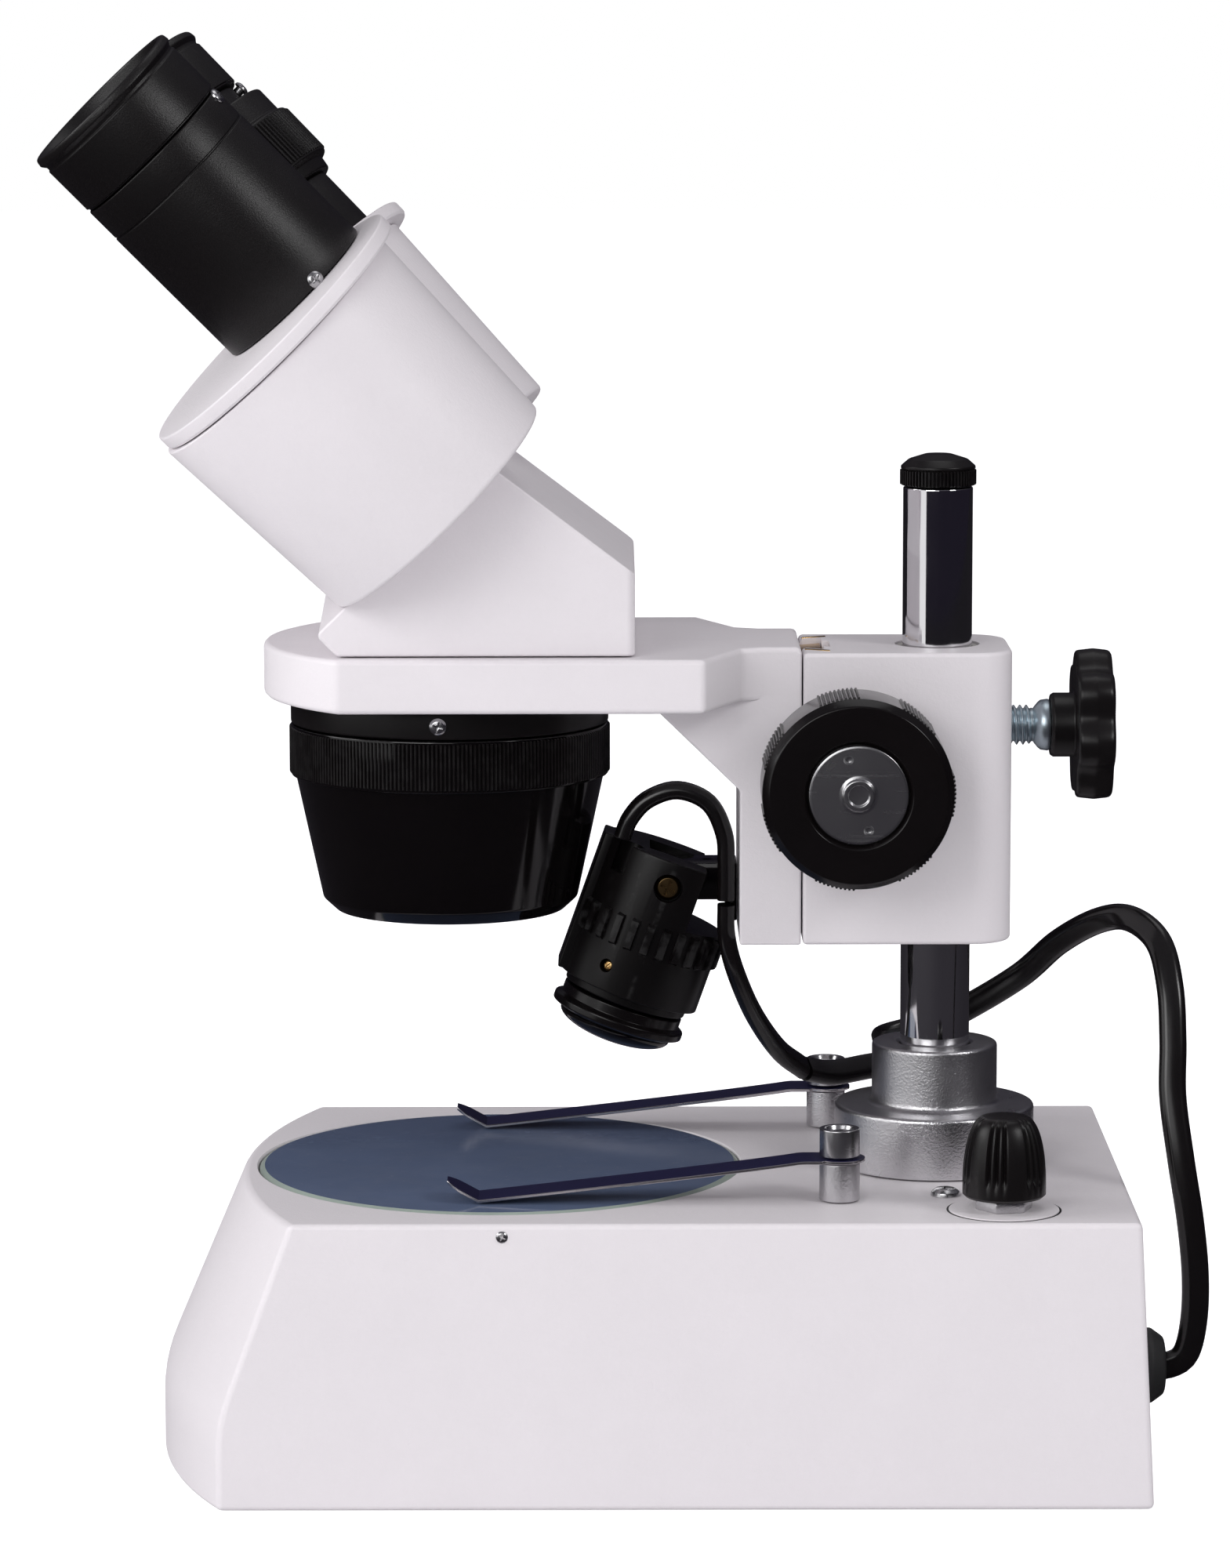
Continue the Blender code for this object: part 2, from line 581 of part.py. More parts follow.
def lobed(radius, depth, lobes, count):
    points = []
    for i in range(count):
        a = 2 * math.pi * i / count
        points.append(((radius - depth * (0.5 - 0.5 * math.cos(lobes * a))) * math.cos(a),
                       (radius - depth * (0.5 - 0.5 * math.cos(lobes * a))) * math.sin(a)))
    return points


def make_clamp(m):
    tip = PILLAR_X + LINER_R + GAP
    tail = CLAMP_X0 + 3.0 * MM
    r = CLAMP_SCREW_R
    screw = turned([(0, 0), (r - 0.6 * MM, 0), (r, 0.8 * MM), (r, tail - tip), (0, tail - tip)],
                   SEG_SMALL)
    to_object("clamp_screw", screw, m["zinc"], (tip, 0, CLAMP_Z), ALONG_X)

    knob = to_object("clamp_knob", extruded(lobed(CLAMP_R, 1.9 * MM, 7, 42), 0,
                                            CLAMP_X1 - CLAMP_X0),
                     m["black"], (CLAMP_X0, 0, CLAMP_Z), ALONG_X)
    bevel(knob, 0.9 * MM, 1, 60)
    hub = ring(CLAMP_SCREW_R * 0.8, CLAMP_HUB_R, CLAMP_HUB_X0 - CLAMP_X0, 2 * MM, SEG_MID)
    boolean(knob, cutter("add_clamp_hub", hub, (CLAMP_X0, 0, CLAMP_Z), ALONG_X), "UNION")
    well = rod(CLAMP_SCREW_R + GAP, -8 * MM, 3.3 * MM, SEG_SMALL)
    boolean(knob, cutter("cut_clamp_well", well, (CLAMP_X0, 0, CLAMP_Z), ALONG_X))


def make_focus_drive(m):
    reach = FOCUS_OUTER - 2.4 * MM
    teeth = 6.5 * MM
    shaft = turned([(0, -reach), (SHAFT_R, -reach), (SHAFT_R, -teeth), (PINION_R, -teeth),
                    (PINION_R, teeth), (SHAFT_R, teeth), (SHAFT_R, reach), (0, reach)],
                   SEG_SMALL)
    to_object("pinion_shaft", shaft, m["steel"], (SHAFT_X, 0, SHAFT_Z), ALONG_Y)
    gap = BLOCK_HALF + 2 * GAP
    for side, turn in (("near", ALONG_MINUS_Y), ("far", ALONG_Y)):
        wheel = turned([(SHAFT_R + GAP, gap), (9.5 * MM, gap), (9.5 * MM, FOCUS_INNER),
                        (FOCUS_R - 1.2 * MM, FOCUS_INNER), (FOCUS_R, FOCUS_INNER + 1.2 * MM),
                        (FOCUS_R, FOCUS_OUTER - 5.0 * MM),
                        (FOCUS_R - 0.9 * MM, FOCUS_OUTER - 2.2 * MM),
                        (FOCUS_R - 3.0 * MM, FOCUS_OUTER), (10.2 * MM, FOCUS_OUTER),
                        (9.6 * MM, FOCUS_OUTER - 0.8 * MM), (SHAFT_R + GAP,
                                                            FOCUS_OUTER - 0.8 * MM)],
                       SEG, True)
        to_object("focus_knob_" + side, wheel, m["gloss"], (SHAFT_X, 0, SHAFT_Z), turn)


def make_slide(m):
    z0, z1 = BLOCK_Z0 + 1 * MM, BLOCK_Z1 - 1 * MM
    plan = [(SLIDE_X0 - 0.3 * MM, -SLIDE_NECK), (SLIDE_X0, -SLIDE_NECK),
            (SLIDE_X1, -SLIDE_BACK), (SLIDE_X1, SLIDE_BACK),
            (SLIDE_X0, SLIDE_NECK), (SLIDE_X0 - 0.3 * MM, SLIDE_NECK)]
    to_object("dovetail_slide", extruded(plan, z0, z1), m["brass"])
    plan = [(SLIDE_X1 + 0.1 * MM, -RACK_HALF), (RACK_X1, -RACK_HALF),
            (RACK_X1, RACK_HALF), (SLIDE_X1 + 0.1 * MM, RACK_HALF)]
    to_object("focus_rack", extruded(plan, z0 + 1 * MM, z1 - 1 * MM), m["brass"])


# ---------------------------------------------------------------------------
# carrier, objective and head body
# ---------------------------------------------------------------------------
def make_carrier(m):
    nose = arc_front(CARRIER_CORNER, CARRIER_NOSE, CARRIER_HALF, 14)
    rear = [(CARRIER_SIDE_END, CARRIER_HALF), (CARRIER_NECK_X, BLOCK_HALF + 2 * MM),
            (CARRIER_NECK_X + 4 * MM, BLOCK_HALF), (SEAM_X, BLOCK_HALF)]
    plan = [(x, -y) for x, y in reversed(rear)] + nose + rear
    carrier = to_object("head_carrier", extruded(plan, CARRIER_BOTTOM, CARRIER_TOP), m["white"])
    bevel(carrier, 0.8 * MM, 1, 55)
    side = [(COLUMN_X, BLOCK_Z0), (SEAM_X, BLOCK_Z0), (SEAM_X, CARRIER_TOP - 1 * MM),
            (GUSSET_X - 1 * MM, CARRIER_TOP - 1 * MM), (GUSSET_X - 1 * MM, CARRIER_BOTTOM),
            (GUSSET_X, CARRIER_BOTTOM), (COLUMN_X, GUSSET_Z)]
    column = cutter("add_column", upright(side, -BLOCK_HALF, BLOCK_HALF))
    boolean(carrier, column, "UNION")
    light = rod(21 * MM, CARRIER_BOTTOM - 5 * MM, CARRIER_TOP + 5 * MM, SEG_MID)
    boolean(carrier, cutter("cut_light_path", light, (OBJ_X, 0, 0)))


def make_objective(m):
    at = (OBJ_X, 0, 0)
    mount = turned([(22 * MM, OBJ_MOUNT_Z), (OBJ_MOUNT_R, OBJ_MOUNT_Z),
                    (OBJ_MOUNT_R, CARRIER_BOTTOM - GAP), (22 * MM, CARRIER_BOTTOM - GAP)],
                   SEG, True)
    to_object("objective_mount", mount, m["black"], at)
    z1 = OBJ_MOUNT_Z - GAP
    wall = 2.5 * MM
    floor = 3.0 * MM
    turret = turned([(0, OBJ_CUP_Z + floor), (OBJ_CUP_LOW_R - wall, OBJ_CUP_Z + floor),
                     (OBJ_CUP_TOP_R - wall, OBJ_RING_Z), (OBJ_CUP_TOP_R - wall, z1),
                     (OBJ_RING_R - 0.4 * MM, z1), (OBJ_RING_R, z1 - 0.4 * MM),
                     (OBJ_RING_R, OBJ_RING_Z + 0.4 * MM), (OBJ_RING_R - 0.4 * MM, OBJ_RING_Z),
                     (OBJ_CUP_TOP_R, OBJ_RING_Z), (OBJ_CUP_LOW_R + 0.6 * MM,
                                                  OBJ_CUP_Z + 2.4 * MM),
                     (OBJ_CUP_LOW_R - 1.0 * MM, OBJ_CUP_Z + 0.6 * MM),
                     (OBJ_CUP_LOW_R - 2.4 * MM, OBJ_CUP_Z), (0, OBJ_CUP_Z)])
    cup = to_object("objective_turret", turret, m["gloss"], at)
    for i, angle in enumerate((0, 90, 180, 270)):
        x = OBJ_X + OBJ_LENS_OFFSET * math.sin(math.radians(angle))
        y = -OBJ_LENS_OFFSET * math.cos(math.radians(angle))
        hole = rod(OBJ_LENS_R + GAP, OBJ_CUP_Z - 5 * MM, OBJ_CUP_Z + 8 * MM, SEG_SMALL)
        boolean(cup, cutter("cut_objective_%d" % i, hole, (x, y, 0)))
        lens = turned([(0, OBJ_CUP_Z + 1.4 * MM), (4.2 * MM, OBJ_CUP_Z + 0.8 * MM),
                       (OBJ_LENS_R, OBJ_CUP_Z + 0.4 * MM), (OBJ_LENS_R, OBJ_CUP_Z + 9 * MM),
                       (0, OBJ_CUP_Z + 9 * MM)], SEG_SMALL)
        to_object("objective_lens_%d" % (i + 1), lens, m["lens"], (x, y, 0))


def barrel_frame(side):
    """Axes of one barrel: along, up and inward, as a rotation, side -1 is near."""
    lean = TUBE_SPREAD
    along = Vector((-math.cos(TUBE_TILT) * math.cos(lean), side * math.sin(lean),
                    math.sin(TUBE_TILT) * math.cos(lean)))
    up = Vector((math.sin(TUBE_TILT), 0, math.cos(TUBE_TILT)))
    across = along.cross(up)
    turn = Matrix((up, across, along)).transposed()
    return along, up, across, turn.to_quaternion()


def make_head_body(m):
    top = CARRIER_TOP + GAP
    apex_x = -40 * MM
    peak = HEAD_REAR_Z + math.tan(HEAD_SLOPE) * (HEAD_REAR - apex_x)
    side = [(HEAD_FRONT, top), (HEAD_REAR, top), (HEAD_REAR, HEAD_REAR_Z), (apex_x, peak),
            (HEAD_FRONT - 3.5 * MM, peak), (HEAD_FRONT - 3.5 * MM, top + 3.5 * MM)]
    body = to_object("head_body", upright(side, -HEAD_HALF, HEAD_HALF), m["white"])
    for name, s in (("near", -1), ("far", 1)):
        along, up, across, turn = barrel_frame(s)
        low = Vector((DRUM_X, s * DRUM_Y, DRUM_Z)) - along * GAP
        big = box(-90 * MM, 90 * MM, -90 * MM, 90 * MM, 0, 90 * MM)
        boolean(body, cutter("cut_head_" + name, big, low, turn))
    bevel(body, 0.8 * MM, 1, 30)
    light = rod(19 * MM, CARRIER_TOP - 5 * MM, CARRIER_TOP + 6 * MM, SEG_MID)
    boolean(body, cutter("cut_head_light", light, (OBJ_X, 0, 0)))
    for name, s in (("near", -1), ("far", 1)):
        along, up, across, turn = barrel_frame(s)
        low = Vector((DRUM_X, s * DRUM_Y, DRUM_Z)) - along * GAP
        path = rod(6 * MM, -34 * MM, 5 * MM, SEG_SMALL)
        inward = low - Vector((0, s * 11 * MM, 0))
        boolean(body, cutter("cut_ray_" + name, path, inward, turn))


def make_barrels(m):
    for name, s in (("near", -1), ("far", 1)):
        along, up, across, turn = barrel_frame(s)
        inward = across if across.y * s < 0 else -across
        low = Vector((DRUM_X, s * DRUM_Y, DRUM_Z))
        hub = empty("barrel_axis_" + name, low, turn)
        wall = 2.4 * MM
        floor = 3.0 * MM
        slope = (DRUM_R_TOP - DRUM_R_LOW) / DRUM_LEN
        housing = turned([(5.5 * MM, 0), (DRUM_R_LOW - 0.6 * MM, 0), (DRUM_R_LOW, 0.6 * MM),
                          (DRUM_R_TOP, DRUM_LEN), (DRUM_R_TOP - wall, DRUM_LEN),
                          (DRUM_R_LOW - wall + slope * floor, floor), (5.5 * MM, floor)],
                         SEG, True)
        to_object("prism_housing_" + name, housing, m["white"], parent=hub)

        step = 1.0 if inward == across else -1.0
        off = Vector((TUBE_UP, step * TUBE_IN, 0))
        z0 = DRUM_LEN + GAP
        lid = to_object("housing_lid_" + name,
                        turned([(0, z0), (LID_R, z0), (LID_R, z0 + LID_T - 0.6 * MM),
                                (LID_R - 0.6 * MM, z0 + LID_T), (0, z0 + LID_T)]),
                        m["white"], (LID_UP, 0, 0), parent=hub)
        hole = rod(TUBE_BORE - 1.4 * MM, z0 - 5 * MM, z0 + 9 * MM, SEG_MID)
        boolean(lid, cutter("cut_lid_" + name, hole, off, parent=hub))

        z1 = z0 + LID_T + GAP
        z2 = z1 + TUBE_LEN - 3 * MM
        r = TUBE_R
        if name == "near":
            outer = [(r, z1), (r, z1 + 31 * MM), (r - 0.6 * MM, z1 + 31.4 * MM),
                     (r - 0.6 * MM, z2)]
        else:
            outer = [(r, z1), (r, z1 + 13.0 * MM), (r - 1.6 * MM, z1 + 13.0 * MM),
                     (r - 1.6 * MM, z2)]
        tube = turned([(TUBE_BORE - 2.0 * MM, z1)] + outer + [(TUBE_BORE - 2.0 * MM, z2)],
                      SEG, True)
        to_object("eyepiece_tube_" + name, tube, m["black"], off, parent=hub)

        if name == "far":
            d0 = z1 + 13.0 * MM + GAP
            inner = r - 1.6 * MM + RUN
            front, back = r + 1.8 * MM, r + 2.2 * MM
            profile = [(inner, d0), (front - 0.4 * MM, d0), (front, d0 + 0.6 * MM),
                       (front, d0 + 2.4 * MM), (DIOPTRE_R, d0 + 3.0 * MM),
                       (DIOPTRE_R, d0 + 14.4 * MM), (back, d0 + 15.0 * MM),
                       (back, d0 + 20.4 * MM), (back - 0.6 * MM, d0 + 21.0 * MM),
                       (inner, d0 + 21.0 * MM)]
            to_object("dioptre_ring", turned(profile, SEG, True), m["black"], off, parent=hub)

        seat = z2 + GAP
        sleeve = TUBE_BORE - 2.0 * MM - RUN
        lip = seat + 3 * MM + CUP_LEN
        eye = turned([(sleeve - 1.2 * MM, seat - 16 * MM), (sleeve, seat - 16 * MM),
                      (sleeve, seat), (CUP_R - 0.4 * MM, seat), (CUP_R - 0.4 * MM, seat + 2 * MM),
                      (CUP_R, seat + 2.2 * MM), (CUP_R, lip - 2.9 * MM),
                      (LIP_R, lip - 2.2 * MM), (LIP_R, lip - 0.8 * MM), (LIP_R - 0.8 * MM, lip),
                      (LIP_R - 2.4 * MM, lip - 0.4 * MM), (LIP_R - 5.5 * MM, lip - 7.0 * MM),
                      (sleeve - 1.2 * MM, lip - 7.4 * MM)], SEG, True)
        to_object("eyepiece_" + name, eye, m["black"], off, parent=hub)
        lens_r = sleeve - 1.2 * MM - GAP
        base = lip - 12.5 * MM
        profile = [(0, base), (lens_r, base), (lens_r, base + 3 * MM)]
        for i in range(1, 4):
            a = i / 4
            profile.append((lens_r * math.cos(a * math.pi / 2),
                            base + 3 * MM + 1.8 * MM * math.sin(a * math.pi / 2)))
        profile.append((0, base + 4.8 * MM))
        to_object("eye_lens_" + name, turned(profile, SEG_MID), m["lens"], off, parent=hub)


# ---------------------------------------------------------------------------
# incident lamp
# ---------------------------------------------------------------------------
def make_lamp(m):
    turn = Vector((0, 0, 1)).rotation_difference(
        Vector((math.sin(LAMP_TILT), 0, math.cos(LAMP_TILT))))
    hub = empty("lamp_axis", (LAMP_X, 0, LAMP_Z), turn)
    r = LAMP_R
    s0, s1 = LAMP_S0, LAMP_S1
    inner = 11.0 * MM
    housing = turned([(inner, s0 + GAP), (r, s0 + GAP), (r, 14.5 * MM), (r + 0.9 * MM, 14.7 * MM),
                      (r + 0.9 * MM, 20.9 * MM), (r, 21.1 * MM), (r, s1 - 0.4 * MM),
                      (r - 0.4 * MM, s1), (0, s1), (0, s0 + 14 * MM), (inner, s0 + 14 * MM)],
                     SEG_MID, True)
    shell = to_object("lamp_housing", housing, m["black"], parent=hub)
    gap = TONGUE_HALF + GAP
    slot = box(-5.5 * MM, 30 * MM, -gap, gap, LAMP_SADDLE_S, s1 + 8 * MM)
    boolean(shell, cutter("cut_lamp_slot", slot, parent=hub))
    step = box(6.2 * MM, 30 * MM, -30 * MM, 30 * MM, LAMP_SADDLE_S, s1 + 8 * MM)
    boolean(shell, cutter("cut_lamp_step", step, parent=hub))
    pin = rod(1.6 * MM + GAP, -20 * MM, 20 * MM, SEG_SMALL)
    boolean(shell, cutter("cut_lamp_pin", pin, (0, 0, LAMP_PIVOT_S), ALONG_Y, hub))

    bezel = turned([(8.5 * MM, -1.6 * MM), (11.5 * MM, -1.8 * MM), (13.2 * MM, -0.9 * MM),
                    (13.2 * MM, 0.8 * MM), (12.0 * MM, 1.2 * MM), (12.0 * MM, s0 - GAP),
                    (8.5 * MM, s0 - GAP)], SEG_MID, True)
    to_object("lamp_bezel", bezel, m["gloss"], parent=hub)
    dome = [(0, s0 - 1 * MM), (8.2 * MM, s0 - 1 * MM), (8.2 * MM, -1.9 * MM),
            (11.2 * MM, -2.1 * MM)]
    for i in range(1, 4):
        a = math.pi / 2 * i / 4
        dome.append((11.2 * MM * math.cos(a), -2.1 * MM - 3.4 * MM * math.sin(a)))
    dome.append((0, -5.5 * MM))
    to_object("lamp_lens", turned(dome, SEG_MID), m["gloss"], parent=hub)

    pivot = Vector((LAMP_X, 0, LAMP_Z)) + LAMP_PIVOT_S * Vector(
        (math.sin(LAMP_TILT), 0, math.cos(LAMP_TILT)))
    reach = 13.0 * MM
    screw = turned([(0, -11 * MM), (1.6 * MM, -11 * MM), (1.6 * MM, reach), (0, reach)],
                   16)
    to_object("lamp_pivot_screw", screw, m["brass"], pivot, ALONG_MINUS_Y)

    front = COLUMN_X - GAP
    plate = front - 2.2 * MM
    low = BLOCK_Z0 + 3.0 * MM
    outline = [(plate, low), (front, low), (front, BRACKET_TOP), (plate, BRACKET_TOP)]
    for i in range(9):
        a = math.radians(90 + 22.5 * i)
        outline.append((pivot.x + TONGUE_R * math.cos(a), pivot.z + TONGUE_R * math.sin(a)))
    outline.append((plate, pivot.z - TONGUE_R))
    bracket = to_object("lamp_bracket",
                        upright(outline, -TONGUE_HALF, TONGUE_HALF), m["gloss"])
    hole = rod(1.6 * MM + RUN, -20 * MM, 20 * MM, SEG_SMALL)
    boolean(bracket, cutter("cut_bracket", hole, pivot, ALONG_Y))


# ---------------------------------------------------------------------------
# lamp lead
# ---------------------------------------------------------------------------
LEAD = {
    "lamp_lead_1": ((2.7, -8.5, 121.3), (4.2, -8.5, 125.0), (7.7, -8.5, 128.7),
                    (13.5, -8.5, 130.5), (19.5, -8.6, 128.0), (22.5, -8.9, 122.0),
                    (22.9, -9.0, 116.0), (22.9, -9.0, 109.0)),
    "lamp_lead_2": ((22.9, -9.0, 108.0), (23.0, -8.8, 102.0), (24.6, -7.4, 95.0),
                    (28.4, -3.0, 85.4), (33.5, 3.0, 77.0), (38.4, 8.5, 72.2)),
    "lamp_lead_3": ((39.0, 9.2, 71.8), (44.8, 14.8, 69.9), (53.3, 21.5, 70.0),
                    (61.5, 23.8, 70.3), (70.0, 24.1, 70.6)),
    "lamp_lead_4": ((72.0, 24.7, 70.7), (75.5, 29.2, 70.3), (76.5, 36.0, 69.6),
                    (72.9, 42.2, 69.3), (66.0, 44.8, 69.6), (59.2, 42.3, 70.6),
                    (55.5, 36.2, 72.3), (56.5, 29.6, 74.5), (61.6, 24.9, 76.9),
                    (69.8, 23.6, 80.2), (82.4, 21.5, 88.2), (90.0, 15.0, 96.4),
                    (97.1, 5.0, 102.4), (102.4, -4.0, 104.2), (107.1, -12.0, 101.0),
                    (108.9, -18.0, 93.2), (109.2, -22.0, 83.2), (109.0, -25.0, 72.9),
                    (110.4, -28.0, 61.2), (112.2, -30.0, 49.3), (113.2, -30.6, 39.0),
                    (113.1, -30.2, 30.0), (111.6, -30.0, 23.2), (108.2, -30.0, 20.9),
                    (104.0, -30.0, 20.9)),
}


def smooth_path(points, step):
    """Even points along a Catmull-Rom curve through the given ones."""
    pts = [Vector(p) * MM for p in points]
    ends = [2 * pts[0] - pts[1]] + pts + [2 * pts[-1] - pts[-2]]
    dense = []
    for p0, p1, p2, p3 in zip(ends, ends[1:], ends[2:], ends[3:]):
        for i in range(12):
            t = i / 12
            dense.append(0.5 * (2 * p1 + (p2 - p0) * t
                                + (2 * p0 - 5 * p1 + 4 * p2 - p3) * t * t
                                + (3 * p1 - p0 - 3 * p2 + p3) * t ** 3))
    dense.append(pts[-1])
    length = sum((b - a).length for a, b in zip(dense, dense[1:]))
    count = max(3, round(length / step))
    even, run, k = [dense[0]], 0.0, 1
    for a, b in zip(dense, dense[1:]):
        seg = (b - a).length
        while k < count and run + seg >= length * k / count:
            even.append(a.lerp(b, (length * k / count - run) / seg))
            k += 1
        run += seg
    even.append(dense[-1])
    return even


def make_lead(m):
    for name, points in LEAD.items():
        path = smooth_path(points, LEAD_STEP)
        curve = bpy.data.curves.new(name, "CURVE")
        curve.dimensions = "3D"
        curve.bevel_depth = LEAD_R
        curve.bevel_resolution = 1
        curve.use_fill_caps = True
        spline = curve.splines.new("POLY")
        spline.points.add(len(path) - 1)
        for point, p in zip(spline.points, path):
            point.co = (*p, 1.0)
        curve.materials.append(m["cable"])
        obj = bpy.data.objects.new(name, curve)
        bpy.context.scene.collection.objects.link(obj)

    wall = BASE_REAR_FOOT + (BASE_REAR_TOP - BASE_REAR_FOOT) * GROMMET_Z / BASE_H
    r = GROMMET_R
    waist = r - 2.3 * MM - 2 * GAP
    bore = LEAD_R + 0.7 * MM
    grommet = turned([(bore, -5.5 * MM), (waist, -5.5 * MM), (waist, GAP * 2), (r, GAP * 2),
                      (r, 2.4 * MM), (r - 1.5 * MM, GROMMET_X - wall - 0.4 * MM),
                      (r - 2.2 * MM, GROMMET_X - wall), (bore, GROMMET_X - wall)],
                     SEG_SMALL, True)
    to_object("cord_grommet", grommet, m["rubber"], (wall, GROMMET_Y, GROMMET_Z), ALONG_X)


def main():
    for obj in list(bpy.data.objects):
        bpy.data.objects.remove(obj, do_unlink=True)
    m = make_materials()
    make_base(m)
    make_plate(m)
    make_clips(m)
    make_pillar(m)
    make_dimmer(m)
    make_block(m)
    make_clamp(m)
    make_focus_drive(m)
    make_slide(m)
    make_carrier(m)
    make_objective(m)
    make_head_body(m)
    make_barrels(m)
    make_lamp(m)
    make_lead(m)


main()
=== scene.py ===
"""Looks of an inclined stereo microscope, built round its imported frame.

Metres, +Z up.  X runs from the eyepieces (-X) to the pillar (+X) and Z = 0 is
the bench.  "near" pieces are on the -Y side and "far" ones on the +Y side.
"""
import json
import math

import bmesh
import bpy
from bpy.props import FloatProperty, FloatVectorProperty, IntProperty, PointerProperty
from bpy.types import Operator, Panel, PropertyGroup
from mathutils import Matrix, Vector
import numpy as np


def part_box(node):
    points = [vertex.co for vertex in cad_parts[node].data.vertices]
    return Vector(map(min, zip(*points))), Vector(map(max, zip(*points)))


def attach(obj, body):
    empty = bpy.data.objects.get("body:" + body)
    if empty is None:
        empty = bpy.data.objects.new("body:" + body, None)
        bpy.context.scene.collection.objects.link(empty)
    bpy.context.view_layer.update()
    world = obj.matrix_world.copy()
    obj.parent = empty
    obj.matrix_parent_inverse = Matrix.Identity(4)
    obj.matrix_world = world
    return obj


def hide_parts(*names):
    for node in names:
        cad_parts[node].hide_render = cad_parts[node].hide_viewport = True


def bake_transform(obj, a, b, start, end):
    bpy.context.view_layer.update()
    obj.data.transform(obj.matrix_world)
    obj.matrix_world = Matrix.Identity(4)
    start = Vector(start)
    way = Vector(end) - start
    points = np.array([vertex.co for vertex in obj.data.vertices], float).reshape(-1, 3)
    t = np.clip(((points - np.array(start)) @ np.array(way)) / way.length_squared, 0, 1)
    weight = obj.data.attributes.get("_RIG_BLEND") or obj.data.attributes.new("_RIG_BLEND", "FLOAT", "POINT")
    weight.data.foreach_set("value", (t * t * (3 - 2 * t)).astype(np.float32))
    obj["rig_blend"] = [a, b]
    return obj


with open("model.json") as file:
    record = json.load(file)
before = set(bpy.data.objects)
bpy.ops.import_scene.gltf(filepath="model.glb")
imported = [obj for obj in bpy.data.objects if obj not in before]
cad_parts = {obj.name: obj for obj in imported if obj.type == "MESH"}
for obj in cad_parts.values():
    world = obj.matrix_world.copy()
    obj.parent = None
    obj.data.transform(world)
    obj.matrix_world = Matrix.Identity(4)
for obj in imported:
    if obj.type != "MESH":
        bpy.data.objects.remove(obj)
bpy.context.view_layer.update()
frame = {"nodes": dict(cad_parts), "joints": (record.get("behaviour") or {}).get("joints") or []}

bl_info = {
    "name": "Stereo microscope",
    "version": (1, 0, 0),
    "blender": (4, 5, 0),
    "location": "View3D > Sidebar > Microscope",
    "description": "Finished pieces, materials and stage of an inclined stereo microscope",
    "category": "Object",
}

MM = 0.001
GAP = 0.3 * MM
RUN = 0.1 * MM


# ---------------------------------------------------------------------------
# places read from the frame
# ---------------------------------------------------------------------------
def low(node):
    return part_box(node)[0]


def high(node):
    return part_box(node)[1]


def mid(node):
    return (low(node) + high(node)) / 2


def radius_of(node, axis=0):
    return (high(node)[axis] - low(node)[axis]) / 2


def joint(name):
    return next(j for j in frame["joints"] if j["name"] == name)


BASE_TOP = high("base_shell").z
BASE_REAR_FOOT = high("base_shell").x
BASE_NOSE_FOOT = low("base_shell").x
BASE_HALF_FOOT = high("base_shell").y
BASE_BREAK = 16.5 * MM
BASE_NOSE_TOP = BASE_NOSE_FOOT + 16.3 * MM
BASE_CORNER_FOOT = BASE_NOSE_FOOT + 14.0 * MM
BASE_CORNER_TOP = BASE_NOSE_FOOT + 28.0 * MM
BASE_REAR_TOP = BASE_REAR_FOOT - 2.6 * MM
BASE_HALF_TOP = BASE_HALF_FOOT - 2.5 * MM
BASE_WALL = 3.0 * MM
BASE_ROOF = 8.0 * MM
BASE_SCREW_X, BASE_SCREW_Y = 64.8 * MM, -31.0 * MM
PLATE_SCREW_X, PLATE_SCREW_Z = -20.2 * MM, 52.4 * MM
PLATE = mid("stage_plate")
PLATE_R = radius_of("stage_plate")
PLATE_TOP = high("stage_plate").z
POST = mid("clip_spacer_near")
POST_R = radius_of("clip_spacer_near")
PILLAR = mid("pillar")
PILLAR_R = radius_of("pillar")
DIMMER = mid("dimmer_knob")
DIMMER_R = radius_of("dimmer_knob")
BLOCK_LOW = low("focus_block")
BLOCK_HIGH = high("focus_block")
SEAM_X = BLOCK_LOW.x - GAP
SHAFT = mid("pinion_shaft")
CLAMP = mid("clamp_knob")
CARRIER_LOW = low("head_carrier")
CARRIER_HIGH = high("head_carrier")
CARRIER_BOTTOM = low("objective_mount").z + 5.6 * MM
OPTIC = mid("objective_turret")
BARREL_LOW = Vector(joint("eye_spacing_far")["pos_m"])
BARREL_ALONG = Vector(joint("eye_spacing_far")["axis"]).normalized()
LAMP_PIVOT = Vector(joint("lamp_tilt")["pos_m"])
LAMP_LEAN = math.radians(19.6)
LAMP_PIVOT_S = 28.7 * MM
GROMMET = mid("cord_grommet")


# ---------------------------------------------------------------------------
# sizes and colours that a user would change
# ---------------------------------------------------------------------------
def length_prop(name, text, value, least=0.0, most=1.0):
    return FloatProperty(name=name, description=text, default=value, min=least, max=most,
                         subtype="DISTANCE", unit="LENGTH", precision=5)


def colour_prop(name, text, value):
    return FloatVectorProperty(name=name, description=text, default=value, size=3,
                               min=0.0, max=1.0, subtype="COLOR")


